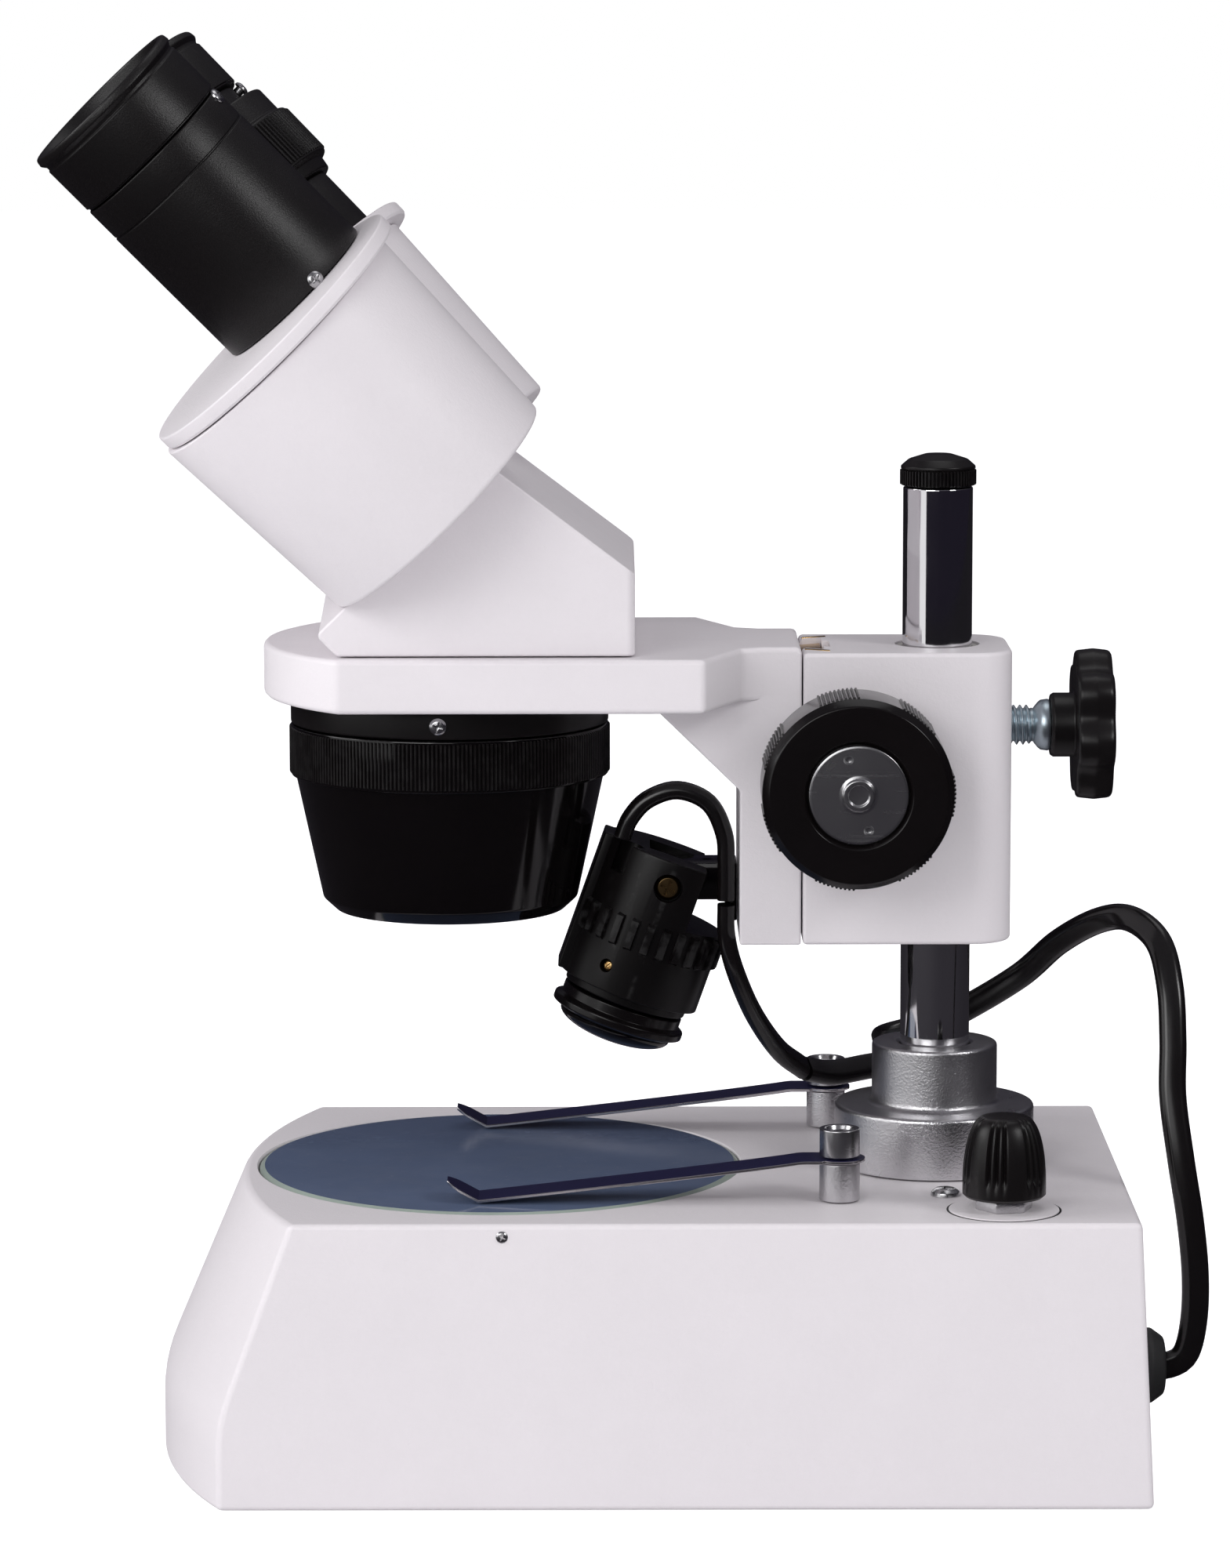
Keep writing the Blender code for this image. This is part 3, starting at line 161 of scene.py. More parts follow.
class MicroscopeColours(PropertyGroup):
    """Colours of the finishes."""

    powder: colour_prop("Powder coat", "White coat of the castings", (0.80, 0.765, 0.79))
    dust: colour_prop("Dust", "Dust that settles on flat tops", (0.45, 0.43, 0.41))
    black: colour_prop("Black", "Moulded and anodised black parts", (0.0062, 0.0048, 0.0052))
    steel: colour_prop("Steel", "Bright steel and chrome", (0.74, 0.735, 0.75))
    aluminium: colour_prop("Aluminium", "Satin turned aluminium", (0.70, 0.69, 0.71))
    zinc: colour_prop("Zinc", "Blue zinc plate of the clamp screw", (0.62, 0.72, 0.78))
    brass: colour_prop("Brass", "Brass of the slide and screws", (0.72, 0.47, 0.20))
    blued: colour_prop("Blued steel", "Faces of the stage clips", (0.018, 0.017, 0.060))
    glass: colour_prop("Stage glass", "Ground glass of the stage", (0.105, 0.138, 0.225))


class MicroscopeSizes(PropertyGroup):
    """Sizes of the fine detail."""

    casting_edge: length_prop("Casting edge", "Round on the edges of the castings", 0.0011)
    turned_edge: length_prop("Turned edge", "Round on the edges of turned parts", 0.0004)
    lead_width: length_prop("Lead width", "Width of the flat twin lead", 0.0053)
    lead_thickness: length_prop("Lead thickness", "Thickness of the flat lead", 0.0034)
    zoom_ribs: IntProperty(name="Zoom ribs", description="Ribs round the objective ring",
                           default=240, min=24, max=400)
    cap_ribs: IntProperty(name="Cap ribs", description="Ribs round the pillar cap",
                          default=64, min=12, max=160)
    wheel_ribs: IntProperty(name="Wheel ribs", description="Rib places round a focus wheel",
                            default=140, min=28, max=400)
    wheel_sectors: IntProperty(name="Wheel grips", description="Ribbed grips on a focus wheel",
                               default=7, min=1, max=20)
    dioptre_ribs: IntProperty(name="Dioptre ribs", description="Ribs round the dioptre ring",
                              default=120, min=24, max=300)
    lamp_ribs: IntProperty(name="Lamp ribs", description="Cooling ribs round the lamp",
                           default=28, min=6, max=80)


class MicroscopeStage(PropertyGroup):
    """Floor, light and camera."""

    floor: colour_prop("Floor", "Pale floor", (0.86, 0.86, 0.87))
    key: FloatProperty(name="Key light", description="Power of the front softbox",
                       default=5.6, min=0.0, max=200.0, unit="POWER")
    side: FloatProperty(name="Side light", description="Power of the softbox on the left",
                        default=4.6, min=0.0, max=200.0, unit="POWER")
    panel: FloatProperty(name="Panel light", description="Power of the tall panel on the left",
                         default=2.6, min=0.0, max=200.0, unit="POWER")
    front: FloatProperty(name="Front light", description="Power of the small front softbox",
                         default=1.0, min=0.0, max=200.0, unit="POWER")
    fill: FloatProperty(name="Fill light", description="Power of the right softbox",
                        default=3.4, min=0.0, max=200.0, unit="POWER")
    top: FloatProperty(name="Top light", description="Power of the light overhead",
                       default=1.2, min=0.0, max=200.0, unit="POWER")
    distance: length_prop("Camera distance", "Camera in front of the middle", 1.088, 0.2, 5.0)
    height: length_prop("Camera height", "Camera above the bench", 0.2869, 0.0, 3.0)
    pitch: FloatProperty(name="Camera pitch", description="Downward tilt of the camera",
                         default=math.radians(8.18), subtype="ANGLE")
    lens: FloatProperty(name="Focal length", description="Lens of the camera",
                        default=163.9, min=20.0, max=400.0)


def colours():
    return bpy.context.scene.microscope_colours


def sizes():
    return bpy.context.scene.microscope_sizes


def settings():
    return bpy.context.scene.microscope_stage


# ---------------------------------------------------------------------------
# shader groups shared by the finishes
# ---------------------------------------------------------------------------
def link(tree, source, target):
    tree.links.new(source, target)


def shader_group(name, inputs, outputs):
    """An empty shader group and its two end nodes."""
    tree = bpy.data.node_groups.new(name, "ShaderNodeTree")
    for label, kind, value in inputs:
        socket = tree.interface.new_socket(name=label, in_out="INPUT",
                                           socket_type="NodeSocket" + kind)
        socket.default_value = value
    for label, kind in outputs:
        tree.interface.new_socket(name=label, in_out="OUTPUT",
                                  socket_type="NodeSocket" + kind)
    return tree, tree.nodes.new("NodeGroupInput"), tree.nodes.new("NodeGroupOutput")


def maths(tree, operation, a, b=None, clamp=False):
    node = tree.nodes.new("ShaderNodeMath")
    node.operation = operation
    node.use_clamp = clamp
    for socket, value in zip(node.inputs, (a, b)):
        if isinstance(value, (int, float)):
            socket.default_value = value
        elif value is not None:
            link(tree, value, socket)
    return node.outputs[0]


def noise(tree, coords, scale, detail=3.0, roughness=0.5):
    node = tree.nodes.new("ShaderNodeTexNoise")
    node.inputs["Detail"].default_value = detail
    node.inputs["Roughness"].default_value = roughness
    if isinstance(scale, (int, float)):
        node.inputs["Scale"].default_value = scale
    else:
        link(tree, scale, node.inputs["Scale"])
    link(tree, coords, node.inputs["Vector"])
    return node.outputs["Fac"]


def remap(tree, value, low_in, high_in, low_out=0.0, high_out=1.0):
    node = tree.nodes.new("ShaderNodeMapRange")
    node.interpolation_type = "SMOOTHSTEP"
    link(tree, value, node.inputs["Value"])
    for label, number in (("From Min", low_in), ("From Max", high_in),
                          ("To Min", low_out), ("To Max", high_out)):
        node.inputs[label].default_value = number
    return node.outputs["Result"]


def object_coords(tree):
    return tree.nodes.new("ShaderNodeTexCoord").outputs["Object"]


def make_grain_group():
    """Fine surface texture: a height for bump and a slow tone for colour."""
    tree, start, end = shader_group(
        "Surface grain",
        [("Scale", "Float", 1200.0), ("Second Scale", "Float", 4200.0),
         ("Tone Scale", "Float", 45.0)],
        [("Height", "Float"), ("Tone", "Float")])
    coords = object_coords(tree)
    coarse = noise(tree, coords, start.outputs["Scale"], 2.0)
    fine = noise(tree, coords, start.outputs["Second Scale"], 1.0)
    height = maths(tree, "ADD", maths(tree, "MULTIPLY", coarse, 0.7),
                   maths(tree, "MULTIPLY", fine, 0.3))
    link(tree, height, end.inputs["Height"])
    slow = noise(tree, coords, start.outputs["Tone Scale"], 4.0, 0.6)
    link(tree, remap(tree, slow, 0.3, 0.7), end.inputs["Tone"])
    return tree


def make_wear_group():
    """Rubbed edges, broken up so that they aren't even."""
    tree, start, end = shader_group(
        "Edge wear",
        [("Amount", "Float", 0.5), ("Breakup", "Float", 400.0)], [("Mask", "Float")])
    geometry = tree.nodes.new("ShaderNodeNewGeometry")
    edge = remap(tree, geometry.outputs["Pointiness"], 0.53, 0.64)
    broken = remap(tree, noise(tree, object_coords(tree), start.outputs["Breakup"], 4.0),
                   0.45, 0.62)
    mask = maths(tree, "MULTIPLY", maths(tree, "MULTIPLY", edge, broken),
                 start.outputs["Amount"], clamp=True)
    link(tree, mask, end.inputs["Mask"])
    return tree


def make_dust_group():
    """A little dust where a face looks upwards."""
    tree, start, end = shader_group(
        "Settled dust",
        [("Amount", "Float", 0.3), ("Speck Scale", "Float", 900.0)], [("Mask", "Float")])
    geometry = tree.nodes.new("ShaderNodeNewGeometry")
    parts = tree.nodes.new("ShaderNodeSeparateXYZ")
    link(tree, geometry.outputs["Normal"], parts.inputs[0])
    facing = remap(tree, parts.outputs["Z"], 0.35, 0.95)
    coords = object_coords(tree)
    film = remap(tree, noise(tree, coords, 120.0, 5.0, 0.65), 0.40, 0.75)
    speck = remap(tree, noise(tree, coords, start.outputs["Speck Scale"], 2.0), 0.66, 0.74)
    both = maths(tree, "ADD", maths(tree, "MULTIPLY", film, 0.5), speck)
    mask = maths(tree, "MULTIPLY", maths(tree, "MULTIPLY", facing, both),
                 start.outputs["Amount"], clamp=True)
    link(tree, mask, end.inputs["Mask"])
    return tree


def make_scratch_group():
    """Hair-fine rub marks for plated and polished metal."""
    tree, start, end = shader_group(
        "Rub marks", [("Scale", "Float", 160.0), ("Stretch", "Vector", (1.0, 1.0, 0.08))],
        [("Height", "Float"), ("Mask", "Float")])
    mapping = tree.nodes.new("ShaderNodeMapping")
    link(tree, object_coords(tree), mapping.inputs["Vector"])
    link(tree, start.outputs["Stretch"], mapping.inputs["Scale"])
    value = noise(tree, mapping.outputs["Vector"], start.outputs["Scale"], 6.0, 0.75)
    link(tree, value, end.inputs["Height"])
    link(tree, remap(tree, value, 0.55, 0.72), end.inputs["Mask"])
    return tree


GROUP_MAKERS = {"grain": make_grain_group, "wear": make_wear_group,
                "dust": make_dust_group, "scratch": make_scratch_group}
GROUPS = {}
FINISHES = {}


def use_group(tree, kind, **values):
    if kind not in GROUPS:
        GROUPS[kind] = GROUP_MAKERS[kind]()
    node = tree.nodes.new("ShaderNodeGroup")
    node.node_tree = GROUPS[kind]
    for label, value in values.items():
        node.inputs[label.replace("_", " ")].default_value = value
    return node


def mixed(tree, mask, a, b):
    """Colour a turning to colour b by the mask."""
    node = tree.nodes.new("ShaderNodeMix")
    node.data_type = "RGBA"
    link(tree, mask, node.inputs[0])
    for socket, value in ((node.inputs[6], a), (node.inputs[7], b)):
        if isinstance(value, bpy.types.NodeSocket):
            link(tree, value, socket)
        else:
            socket.default_value = (*value, 1.0)
    return node.outputs[2]


def make_finish(name, colour, roughness, metallic=0.0, *, grain=0.8, depth=0.02, strength=0.5,
                tone=0.12, sheen=0.06, wear=0.0, wear_colour=(0.5, 0.5, 0.5), dust=0.0,
                scratch=0.0, stretch=(1.0, 1.0, 0.08), specular=0.5, coat=0.0):
    """A Principled finish.  Grain and depth are in millimetres."""
    mat = bpy.data.materials.new(name)
    mat.use_nodes = True
    tree = mat.node_tree
    shader = tree.nodes["Principled BSDF"]
    shader.inputs["Metallic"].default_value = metallic
    shader.inputs["Specular IOR Level"].default_value = specular
    shader.inputs["Coat Weight"].default_value = coat
    shader.inputs["Coat Roughness"].default_value = 0.05
    texture = use_group(tree, "grain", Scale=1000.0 / grain, Second_Scale=3400.0 / grain,
                        Tone_Scale=38.0)
    tint = [c * (1.0 - tone) for c in colour]
    paint = mixed(tree, texture.outputs["Tone"], colour, tint)
    gloss = maths(tree, "ADD", maths(tree, "MULTIPLY", texture.outputs["Tone"], sheen),
                  roughness - sheen / 2)
    height = texture.outputs["Height"]
    if scratch:
        marks = use_group(tree, "scratch", Scale=260.0, Stretch=stretch)
        gloss = maths(tree, "ADD", gloss,
                      maths(tree, "MULTIPLY", marks.outputs["Mask"], scratch))
        height = maths(tree, "ADD", height,
                       maths(tree, "MULTIPLY", marks.outputs["Height"], scratch * 4))
    if wear:
        rubbed = use_group(tree, "wear", Amount=wear, Breakup=420.0)
        paint = mixed(tree, rubbed.outputs["Mask"], paint, wear_colour)
    if dust:
        film = use_group(tree, "dust", Amount=dust)
        paint = mixed(tree, film.outputs["Mask"], paint, tuple(colours().dust))
        gloss = maths(tree, "ADD", gloss,
                      maths(tree, "MULTIPLY", film.outputs["Mask"], 0.5), clamp=True)
    link(tree, paint, shader.inputs["Base Color"])
    link(tree, gloss, shader.inputs["Roughness"])
    bump = tree.nodes.new("ShaderNodeBump")
    bump.inputs["Strength"].default_value = strength
    bump.inputs["Distance"].default_value = depth * MM
    link(tree, height, bump.inputs["Height"])
    link(tree, bump.outputs["Normal"], shader.inputs["Normal"])
    FINISHES[name] = mat
    return mat


def make_lens_finish(name, tint, edge):
    """Coated optical glass over a dark barrel.  The edge colour is a painted reflection of the coating,
    which the colour turns to as the view grazes the lens.
    """
    mat = make_finish(name, (0.010, 0.012, 0.016), 0.04, grain=4.0, depth=0.002, tone=0.3,
                      coat=1.0, dust=0.05)
    tree = mat.node_tree
    shader = tree.nodes["Principled BSDF"]
    # Painted reflection: the tint gives way to the coating's reflected colour towards grazing views.
    layer = tree.nodes.new("ShaderNodeLayerWeight")
    layer.inputs["Blend"].default_value = 0.35
    link(tree, mixed(tree, layer.outputs["Facing"], tint, edge), shader.inputs["Base Color"])
    return mat


def make_finishes():
    """Every finish of the instrument, by its maker's name."""
    c = colours()
    black = tuple(c.black)
    make_finish("powder white", tuple(c.powder), 0.46, grain=0.80, depth=0.10, strength=0.7,
                tone=0.025, dust=0.05)
    make_finish("moulded black", black, 0.34, grain=0.9, depth=0.02, tone=0.3, dust=0.015,
                specular=0.32, wear=0.10, wear_colour=(0.05, 0.05, 0.05))
    make_finish("gloss black", tuple(x * 0.45 for x in black), 0.085, grain=6.0, depth=0.012,
                strength=0.35, tone=0.3, dust=0.012, specular=0.42)
    make_finish("lamp black", tuple(x * 0.7 for x in black), 0.34, grain=0.55, depth=0.02,
                tone=0.35, dust=0.03, wear=0.25, wear_colour=(0.06, 0.06, 0.06),
                scratch=0.06, specular=0.27)
    make_finish("tube black", tuple(x * 0.85 for x in black), 0.38, grain=0.34, depth=0.05,
                strength=1.0, tone=0.25, dust=0.02, specular=0.40)
    make_finish("wheel black", tuple(x * 0.8 for x in black), 0.20, grain=3.0, depth=0.012,
                strength=0.4, tone=0.3, dust=0.02, specular=0.30)
    make_finish("rubber", (0.016, 0.016, 0.017), 0.62, grain=0.5, depth=0.02, dust=0.10)
    make_finish("lead black", tuple(x * 0.85 for x in black), 0.21, grain=3.4, depth=0.012,
                tone=0.3, dust=0.03, specular=0.55)
    make_finish("chrome", tuple(c.steel), 0.06, 1.0, grain=5.0, depth=0.004, tone=0.05,
                sheen=0.03, scratch=0.05, dust=0.03)
    make_finish("satin aluminium", tuple(x * 0.95 for x in c.aluminium), 0.29, 1.0,
                grain=0.45, depth=0.10,
                strength=1.0, tone=0.10, sheen=0.1, dust=0.03)
    make_finish("bright steel", tuple(x * 0.8 for x in c.steel), 0.25, 1.0,
                grain=0.7, depth=0.006, tone=0.15,
                scratch=0.1, stretch=(0.1, 0.1, 2.0))
    # Brass darkened to about a third of its colour, for the lamp's pivot pin in its recess.
    make_finish("old brass", tuple(x * 0.35 for x in c.brass), 0.3, 1.0, grain=0.8, depth=0.008,
                tone=0.4)
    make_finish("zinc plate", tuple(c.zinc), 0.36, 1.0, grain=0.5, depth=0.008, tone=0.25,
                scratch=0.08)
    make_finish("brass", tuple(c.brass), 0.26, 1.0, grain=0.6, depth=0.008, tone=0.3,
                scratch=0.1)
    make_finish("blued steel", tuple(c.blued), 0.32, 0.15, grain=1.2, depth=0.004, tone=0.10,
                specular=0.22)
    make_finish("clip edge", (0.62, 0.60, 0.62), 0.22, 1.0, grain=0.6, depth=0.006, tone=0.2)
    make_finish("nylon", (0.52, 0.50, 0.48), 0.45, grain=0.9, depth=0.01, dust=0.05)
    make_finish("cover plate", (0.30, 0.30, 0.31), 0.38, 1.0, grain=1.6, depth=0.02,
                tone=0.35, scratch=0.15, stretch=(0.15, 1.0, 1.0))
    make_finish("ground glass", tuple(c.glass), 0.16, grain=0.25, depth=0.008, tone=0.10,
                specular=0.16, dust=0.06)
    make_finish("glass edge", (0.33, 0.39, 0.35), 0.32, grain=0.3, depth=0.02, tone=0.15,
                specular=0.4)
    # Near-black finish for painted shadow: the thin ring at the foot of the dimmer seat.
    make_finish("dark well", (0.004, 0.004, 0.005), 0.6, grain=0.8, depth=0.02)
    # The second colour of each lens finish is a painted reflection of its coating.
    make_lens_finish("objective glass", (0.012, 0.010, 0.030), (0.16, 0.06, 0.22))
    make_lens_finish("eyepiece glass", (0.010, 0.020, 0.018), (0.05, 0.20, 0.16))


# ---------------------------------------------------------------------------
# shapes
# ---------------------------------------------------------------------------
def eased(points, radius, closed=False, steps=4):
    """The outline with its corners rounded.  A third number gives a corner its own radius."""
    flat = [Vector(p[:2]) for p in points]
    own = [p[2] if len(p) > 2 else radius for p in points]
    count = len(flat)
    out = []
    for i, p in enumerate(flat):
        if not closed and i in (0, count - 1):
            out.append(tuple(p))
            continue
        before = flat[i - 1] - p
        after = flat[(i + 1) % count] - p
        bend = before.angle(after, math.pi)
        if own[i] <= 0 or bend > math.radians(176):
            out.append(tuple(p))
            continue
        reach = min(own[i] / math.tan(bend / 2), before.length * 0.45, after.length * 0.45)
        a = p + before.normalized() * reach
        b = p + after.normalized() * reach
        for k in range(steps + 1):
            t = k / steps
            out.append(tuple((1 - t) ** 2 * a + 2 * t * (1 - t) * p + t * t * b))
    return out


def turned(profile, segments=96, closed=False, warp=None):
    """Points and faces of an (r, z) profile spun about Z."""
    verts, rows = [], []
    for r, z in profile:
        if r < 1e-7:
            rows.append([len(verts)])
            verts.append((0.0, 0.0, z))
            continue
        rows.append(list(range(len(verts), len(verts) + segments)))
        for i in range(segments):
            a = 2 * math.pi * i / segments
            reach = warp(r, z, a) if warp else r
            verts.append((reach * math.cos(a), reach * math.sin(a), z))
    pairs = list(zip(rows, rows[1:]))
    if closed:
        pairs.append((rows[-1], rows[0]))
    faces = []
    for one, two in pairs:
        for i in range(segments):
            j = (i + 1) % segments
            around = [one[i % len(one)], one[j % len(one)],
                      two[j % len(two)], two[i % len(two)]]
            face = list(dict.fromkeys(around))
            if len(face) > 2:
                faces.append(face)
    return verts, faces


def raised(outline, z0, z1):
    """Points and faces of a closed plan drawn up from z0 to z1."""
    count = len(outline)
    verts = [(x, y, z0) for x, y in outline] + [(x, y, z1) for x, y in outline]
    faces = [list(range(count)), list(range(count, 2 * count))]
    faces += [(i, (i + 1) % count, (i + 1) % count + count, i + count) for i in range(count)]
    return verts, faces


def skinned(rings):
    """Points and faces of a skin over rings of equal length, closed at both ends."""
    count = len(rings[0])
    verts = [p for ring in rings for p in ring]
    faces = [list(range(count)), [len(verts) - count + i for i in range(count)]]
    for k in range(len(rings) - 1):
        for i in range(count):
            j = (i + 1) % count
            faces.append((k * count + i, k * count + j, (k + 1) * count + j,
                          (k + 1) * count + i))
    return verts, faces


def block(x0, x1, y0, y1, z0, z1):
    return raised([(x0, y0), (x1, y0), (x1, y1), (x0, y1)], z0, z1)


def rod(radius, z0, z1, segments=48):
    return turned([(0, z0), (radius, z0), (radius, z1), (0, z1)], segments)


def moved(shape, place):
    verts, faces = shape
    return [tuple(place @ Vector(v)) for v in verts], faces


def hexagon(radius, first):
    """Plan of a hexagon, its first corner at that many degrees."""
    turns = [math.radians(60 * i + first) for i in range(6)]
    return [(radius * math.cos(a), radius * math.sin(a)) for a in turns]


def at(x=0.0, y=0.0, z=0.0):
    return Matrix.Translation((x, y, z))


def aimed(origin, direction, side=None):
    """A frame whose Z looks along the direction, and whose X lies nearest to side."""
    z = Vector(direction).normalized()
    x = Vector(side) if side else z.orthogonal()
    x = (x - z * x.dot(z)).normalized()
    y = z.cross(x)
    turn = Matrix((x, y, z)).transposed().to_4x4()
    return Matrix.Translation(origin) @ turn


def solid(name, shape, place=None):
    """A mesh object with outward faces."""
    verts, faces = shape if place is None else moved(shape, place)
    mesh = bpy.data.meshes.new(name)
    mesh.from_pydata(verts, [], faces)
    work = bmesh.new()
    work.from_mesh(mesh)
    bmesh.ops.recalc_face_normals(work, faces=work.faces)
    work.to_mesh(mesh)
    work.free()
    obj = bpy.data.objects.new(name, mesh)
    bpy.context.scene.collection.objects.link(obj)
    return obj


def soften(obj, width, segments=3, angle=30):
    mod = obj.modifiers.new("Softened edges", "BEVEL")
    mod.width = width
    mod.segments = segments
    mod.limit_method = "ANGLE"
    mod.angle_limit = math.radians(angle)
    mod.use_clamp_overlap = True
    return obj


def combine(obj, shape, operation="DIFFERENCE", place=None, soft=0.0):
    """Cut a shape out of a piece, or join it on."""
    tool = solid("tool", shape, place)
    if soft:
        soften(tool, soft, 3, 40)
    mod = obj.modifiers.new(operation.title(), "BOOLEAN")
    mod.operation = operation
    mod.object = tool
    mod.solver = "EXACT"
    return obj


def bake(obj):
    """Turn the modifiers into plain mesh."""
    tools = [m.object for m in obj.modifiers if m.type == "BOOLEAN"]
    graph = bpy.context.evaluated_depsgraph_get()
    mesh = bpy.data.meshes.new_from_object(obj.evaluated_get(graph))
    obj.modifiers.clear()
    obj.data = mesh
    for tool in tools:
        bpy.data.objects.remove(tool)
    return obj


def settle(obj, body, finish, stands_for=(), place=None, sharp=32, even=False):
    """Finish a piece: bake it, put its place in its mesh, give it its finish and its body."""
    if obj.modifiers:
        bake(obj)
    mesh = obj.data
    if place is not None:
        mesh.transform(place)
    names = [finish] if isinstance(finish, str) else list(finish)
    if len(mesh.materials) != len(names):
        mesh.materials.clear()
        for name in names:
            mesh.materials.append(FINISHES[name])
    mesh.shade_smooth()
    mesh.set_sharp_from_angle(angle=math.radians(sharp))
    if even:
        obj.modifiers.new("Even shading", "WEIGHTED_NORMAL").keep_sharp = True
        bake(obj)
    obj.data.name = obj.name
    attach(obj, body)
    if stands_for:
        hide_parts(*([stands_for] if isinstance(stands_for, str) else stands_for))
    return obj


def lathe(name, profile, body, finish, stands_for=(), place=None, closed=False,
          segments=96, radius=None, warp=None, sharp=32):
    """One turned piece with eased corners."""
    edge = sizes().turned_edge if radius is None else radius
    shape = turned(eased(profile, edge, closed), segments, closed, warp)
    return settle(solid(name, shape), body, finish, stands_for, place, sharp)


# ---------------------------------------------------------------------------
# node trees for what repeats
# ---------------------------------------------------------------------------
def make_rib_tree():
    """Ribs stood round a ring, all the way or in even sectors."""
    tree = bpy.data.node_groups.new("Ribs round a ring", "GeometryNodeTree")
    inputs = (("Geometry", "Geometry", None), ("Rib", "Object", None), ("Count", "Int", 24),
              ("Radius", "Float", 0.01), ("Height", "Float", 0.0), ("Sectors", "Int", 1),
              ("Share", "Float", 1.1), ("Start", "Float", 0.0), ("Finish", "Material", None))
    for label, kind, value in inputs:
        socket = tree.interface.new_socket(name=label, in_out="INPUT",
                                           socket_type="NodeSocket" + kind)
        if value is not None:
            socket.default_value = value
    tree.interface.new_socket(name="Geometry", in_out="OUTPUT",
                              socket_type="NodeSocketGeometry")
    start = tree.nodes.new("NodeGroupInput").outputs
    end = tree.nodes.new("NodeGroupOutput")
    circle = tree.nodes.new("GeometryNodeMeshCircle")
    link(tree, start["Count"], circle.inputs["Vertices"])
    link(tree, start["Radius"], circle.inputs["Radius"])
    lift = tree.nodes.new("ShaderNodeCombineXYZ")
    link(tree, start["Height"], lift.inputs["Z"])
    spin = tree.nodes.new("ShaderNodeCombineXYZ")
    link(tree, start["Start"], spin.inputs["Z"])
    stand = tree.nodes.new("GeometryNodeTransform")
    link(tree, circle.outputs["Mesh"], stand.inputs["Geometry"])
    link(tree, lift.outputs[0], stand.inputs["Translation"])
    link(tree, spin.outputs[0], stand.inputs["Rotation"])
    index = tree.nodes.new("GeometryNodeInputIndex").outputs[0]
    share = maths(tree, "DIVIDE", index, start["Count"])
    angle = maths(tree, "ADD", maths(tree, "MULTIPLY", share, 2 * math.pi), start["Start"])
    turn = tree.nodes.new("ShaderNodeCombineXYZ")
    link(tree, angle, turn.inputs["Z"])
    facing = tree.nodes.new("FunctionNodeEulerToRotation")
    link(tree, turn.outputs[0], facing.inputs[0])
    within = maths(tree, "FRACT", maths(tree, "MULTIPLY", share, start["Sectors"]))
    chosen = maths(tree, "LESS_THAN", within, start["Share"])
    rib = tree.nodes.new("GeometryNodeObjectInfo")
    link(tree, start["Rib"], rib.inputs["Object"])
    place = tree.nodes.new("GeometryNodeInstanceOnPoints")
    link(tree, stand.outputs[0], place.inputs["Points"])
    link(tree, chosen, place.inputs["Selection"])
    link(tree, rib.outputs["Geometry"], place.inputs["Instance"])
    link(tree, facing.outputs[0], place.inputs["Rotation"])
    close_tree(tree, place.outputs[0], start["Finish"], end)
    return tree


def make_screw_tree():
    """A fastener at every point of a mesh, turned and sized by the point's own values."""
    tree = bpy.data.node_groups.new("Fasteners at points", "GeometryNodeTree")
    for label, kind in (("Geometry", "Geometry"), ("Head", "Object"), ("Finish", "Material")):
        tree.interface.new_socket(name=label, in_out="INPUT", socket_type="NodeSocket" + kind)
    tree.interface.new_socket(name="Geometry", in_out="OUTPUT",
                              socket_type="NodeSocketGeometry")
    start = tree.nodes.new("NodeGroupInput").outputs
    end = tree.nodes.new("NodeGroupOutput")
    turn = tree.nodes.new("GeometryNodeInputNamedAttribute")
    turn.data_type = "FLOAT_VECTOR"
    turn.inputs["Name"].default_value = "turn"
    facing = tree.nodes.new("FunctionNodeEulerToRotation")
    link(tree, turn.outputs["Attribute"], facing.inputs[0])
    size = tree.nodes.new("GeometryNodeInputNamedAttribute")
    size.data_type = "FLOAT"
    size.inputs["Name"].default_value = "size"
    head = tree.nodes.new("GeometryNodeObjectInfo")
    link(tree, start["Head"], head.inputs["Object"])
    place = tree.nodes.new("GeometryNodeInstanceOnPoints")
    link(tree, start["Geometry"], place.inputs["Points"])
    link(tree, head.outputs["Geometry"], place.inputs["Instance"])
    link(tree, facing.outputs[0], place.inputs["Rotation"])
    link(tree, size.outputs["Attribute"], place.inputs["Scale"])
    close_tree(tree, place.outputs[0], start["Finish"], end)
    return tree


def close_tree(tree, instances, finish, end):
    """Realize the instances, give them their material and pass them out."""
    real = tree.nodes.new("GeometryNodeRealizeInstances")
    link(tree, instances, real.inputs[0])
    paint = tree.nodes.new("GeometryNodeSetMaterial")
    link(tree, real.outputs[0], paint.inputs["Geometry"])
    link(tree, finish, paint.inputs["Material"])
    link(tree, paint.outputs[0], end.inputs[0])


TREE_MAKERS = {"ribs": make_rib_tree, "screws": make_screw_tree}
TREES = {}


def grown(obj, kind, **values):
    """Run a node tree on an object with these inputs and keep the plain mesh."""
    if kind not in TREES:
        TREES[kind] = TREE_MAKERS[kind]()
    mod = obj.modifiers.new(kind, "NODES")
    mod.node_group = TREES[kind]
    for item in TREES[kind].interface.items_tree:
        if item.in_out == "INPUT" and item.name in values:
            mod[item.identifier] = values[item.name]
    graph = bpy.context.evaluated_depsgraph_get()
    mesh = bpy.data.meshes.new_from_object(obj.evaluated_get(graph))
    obj.modifiers.clear()
    obj.data = mesh
    return obj


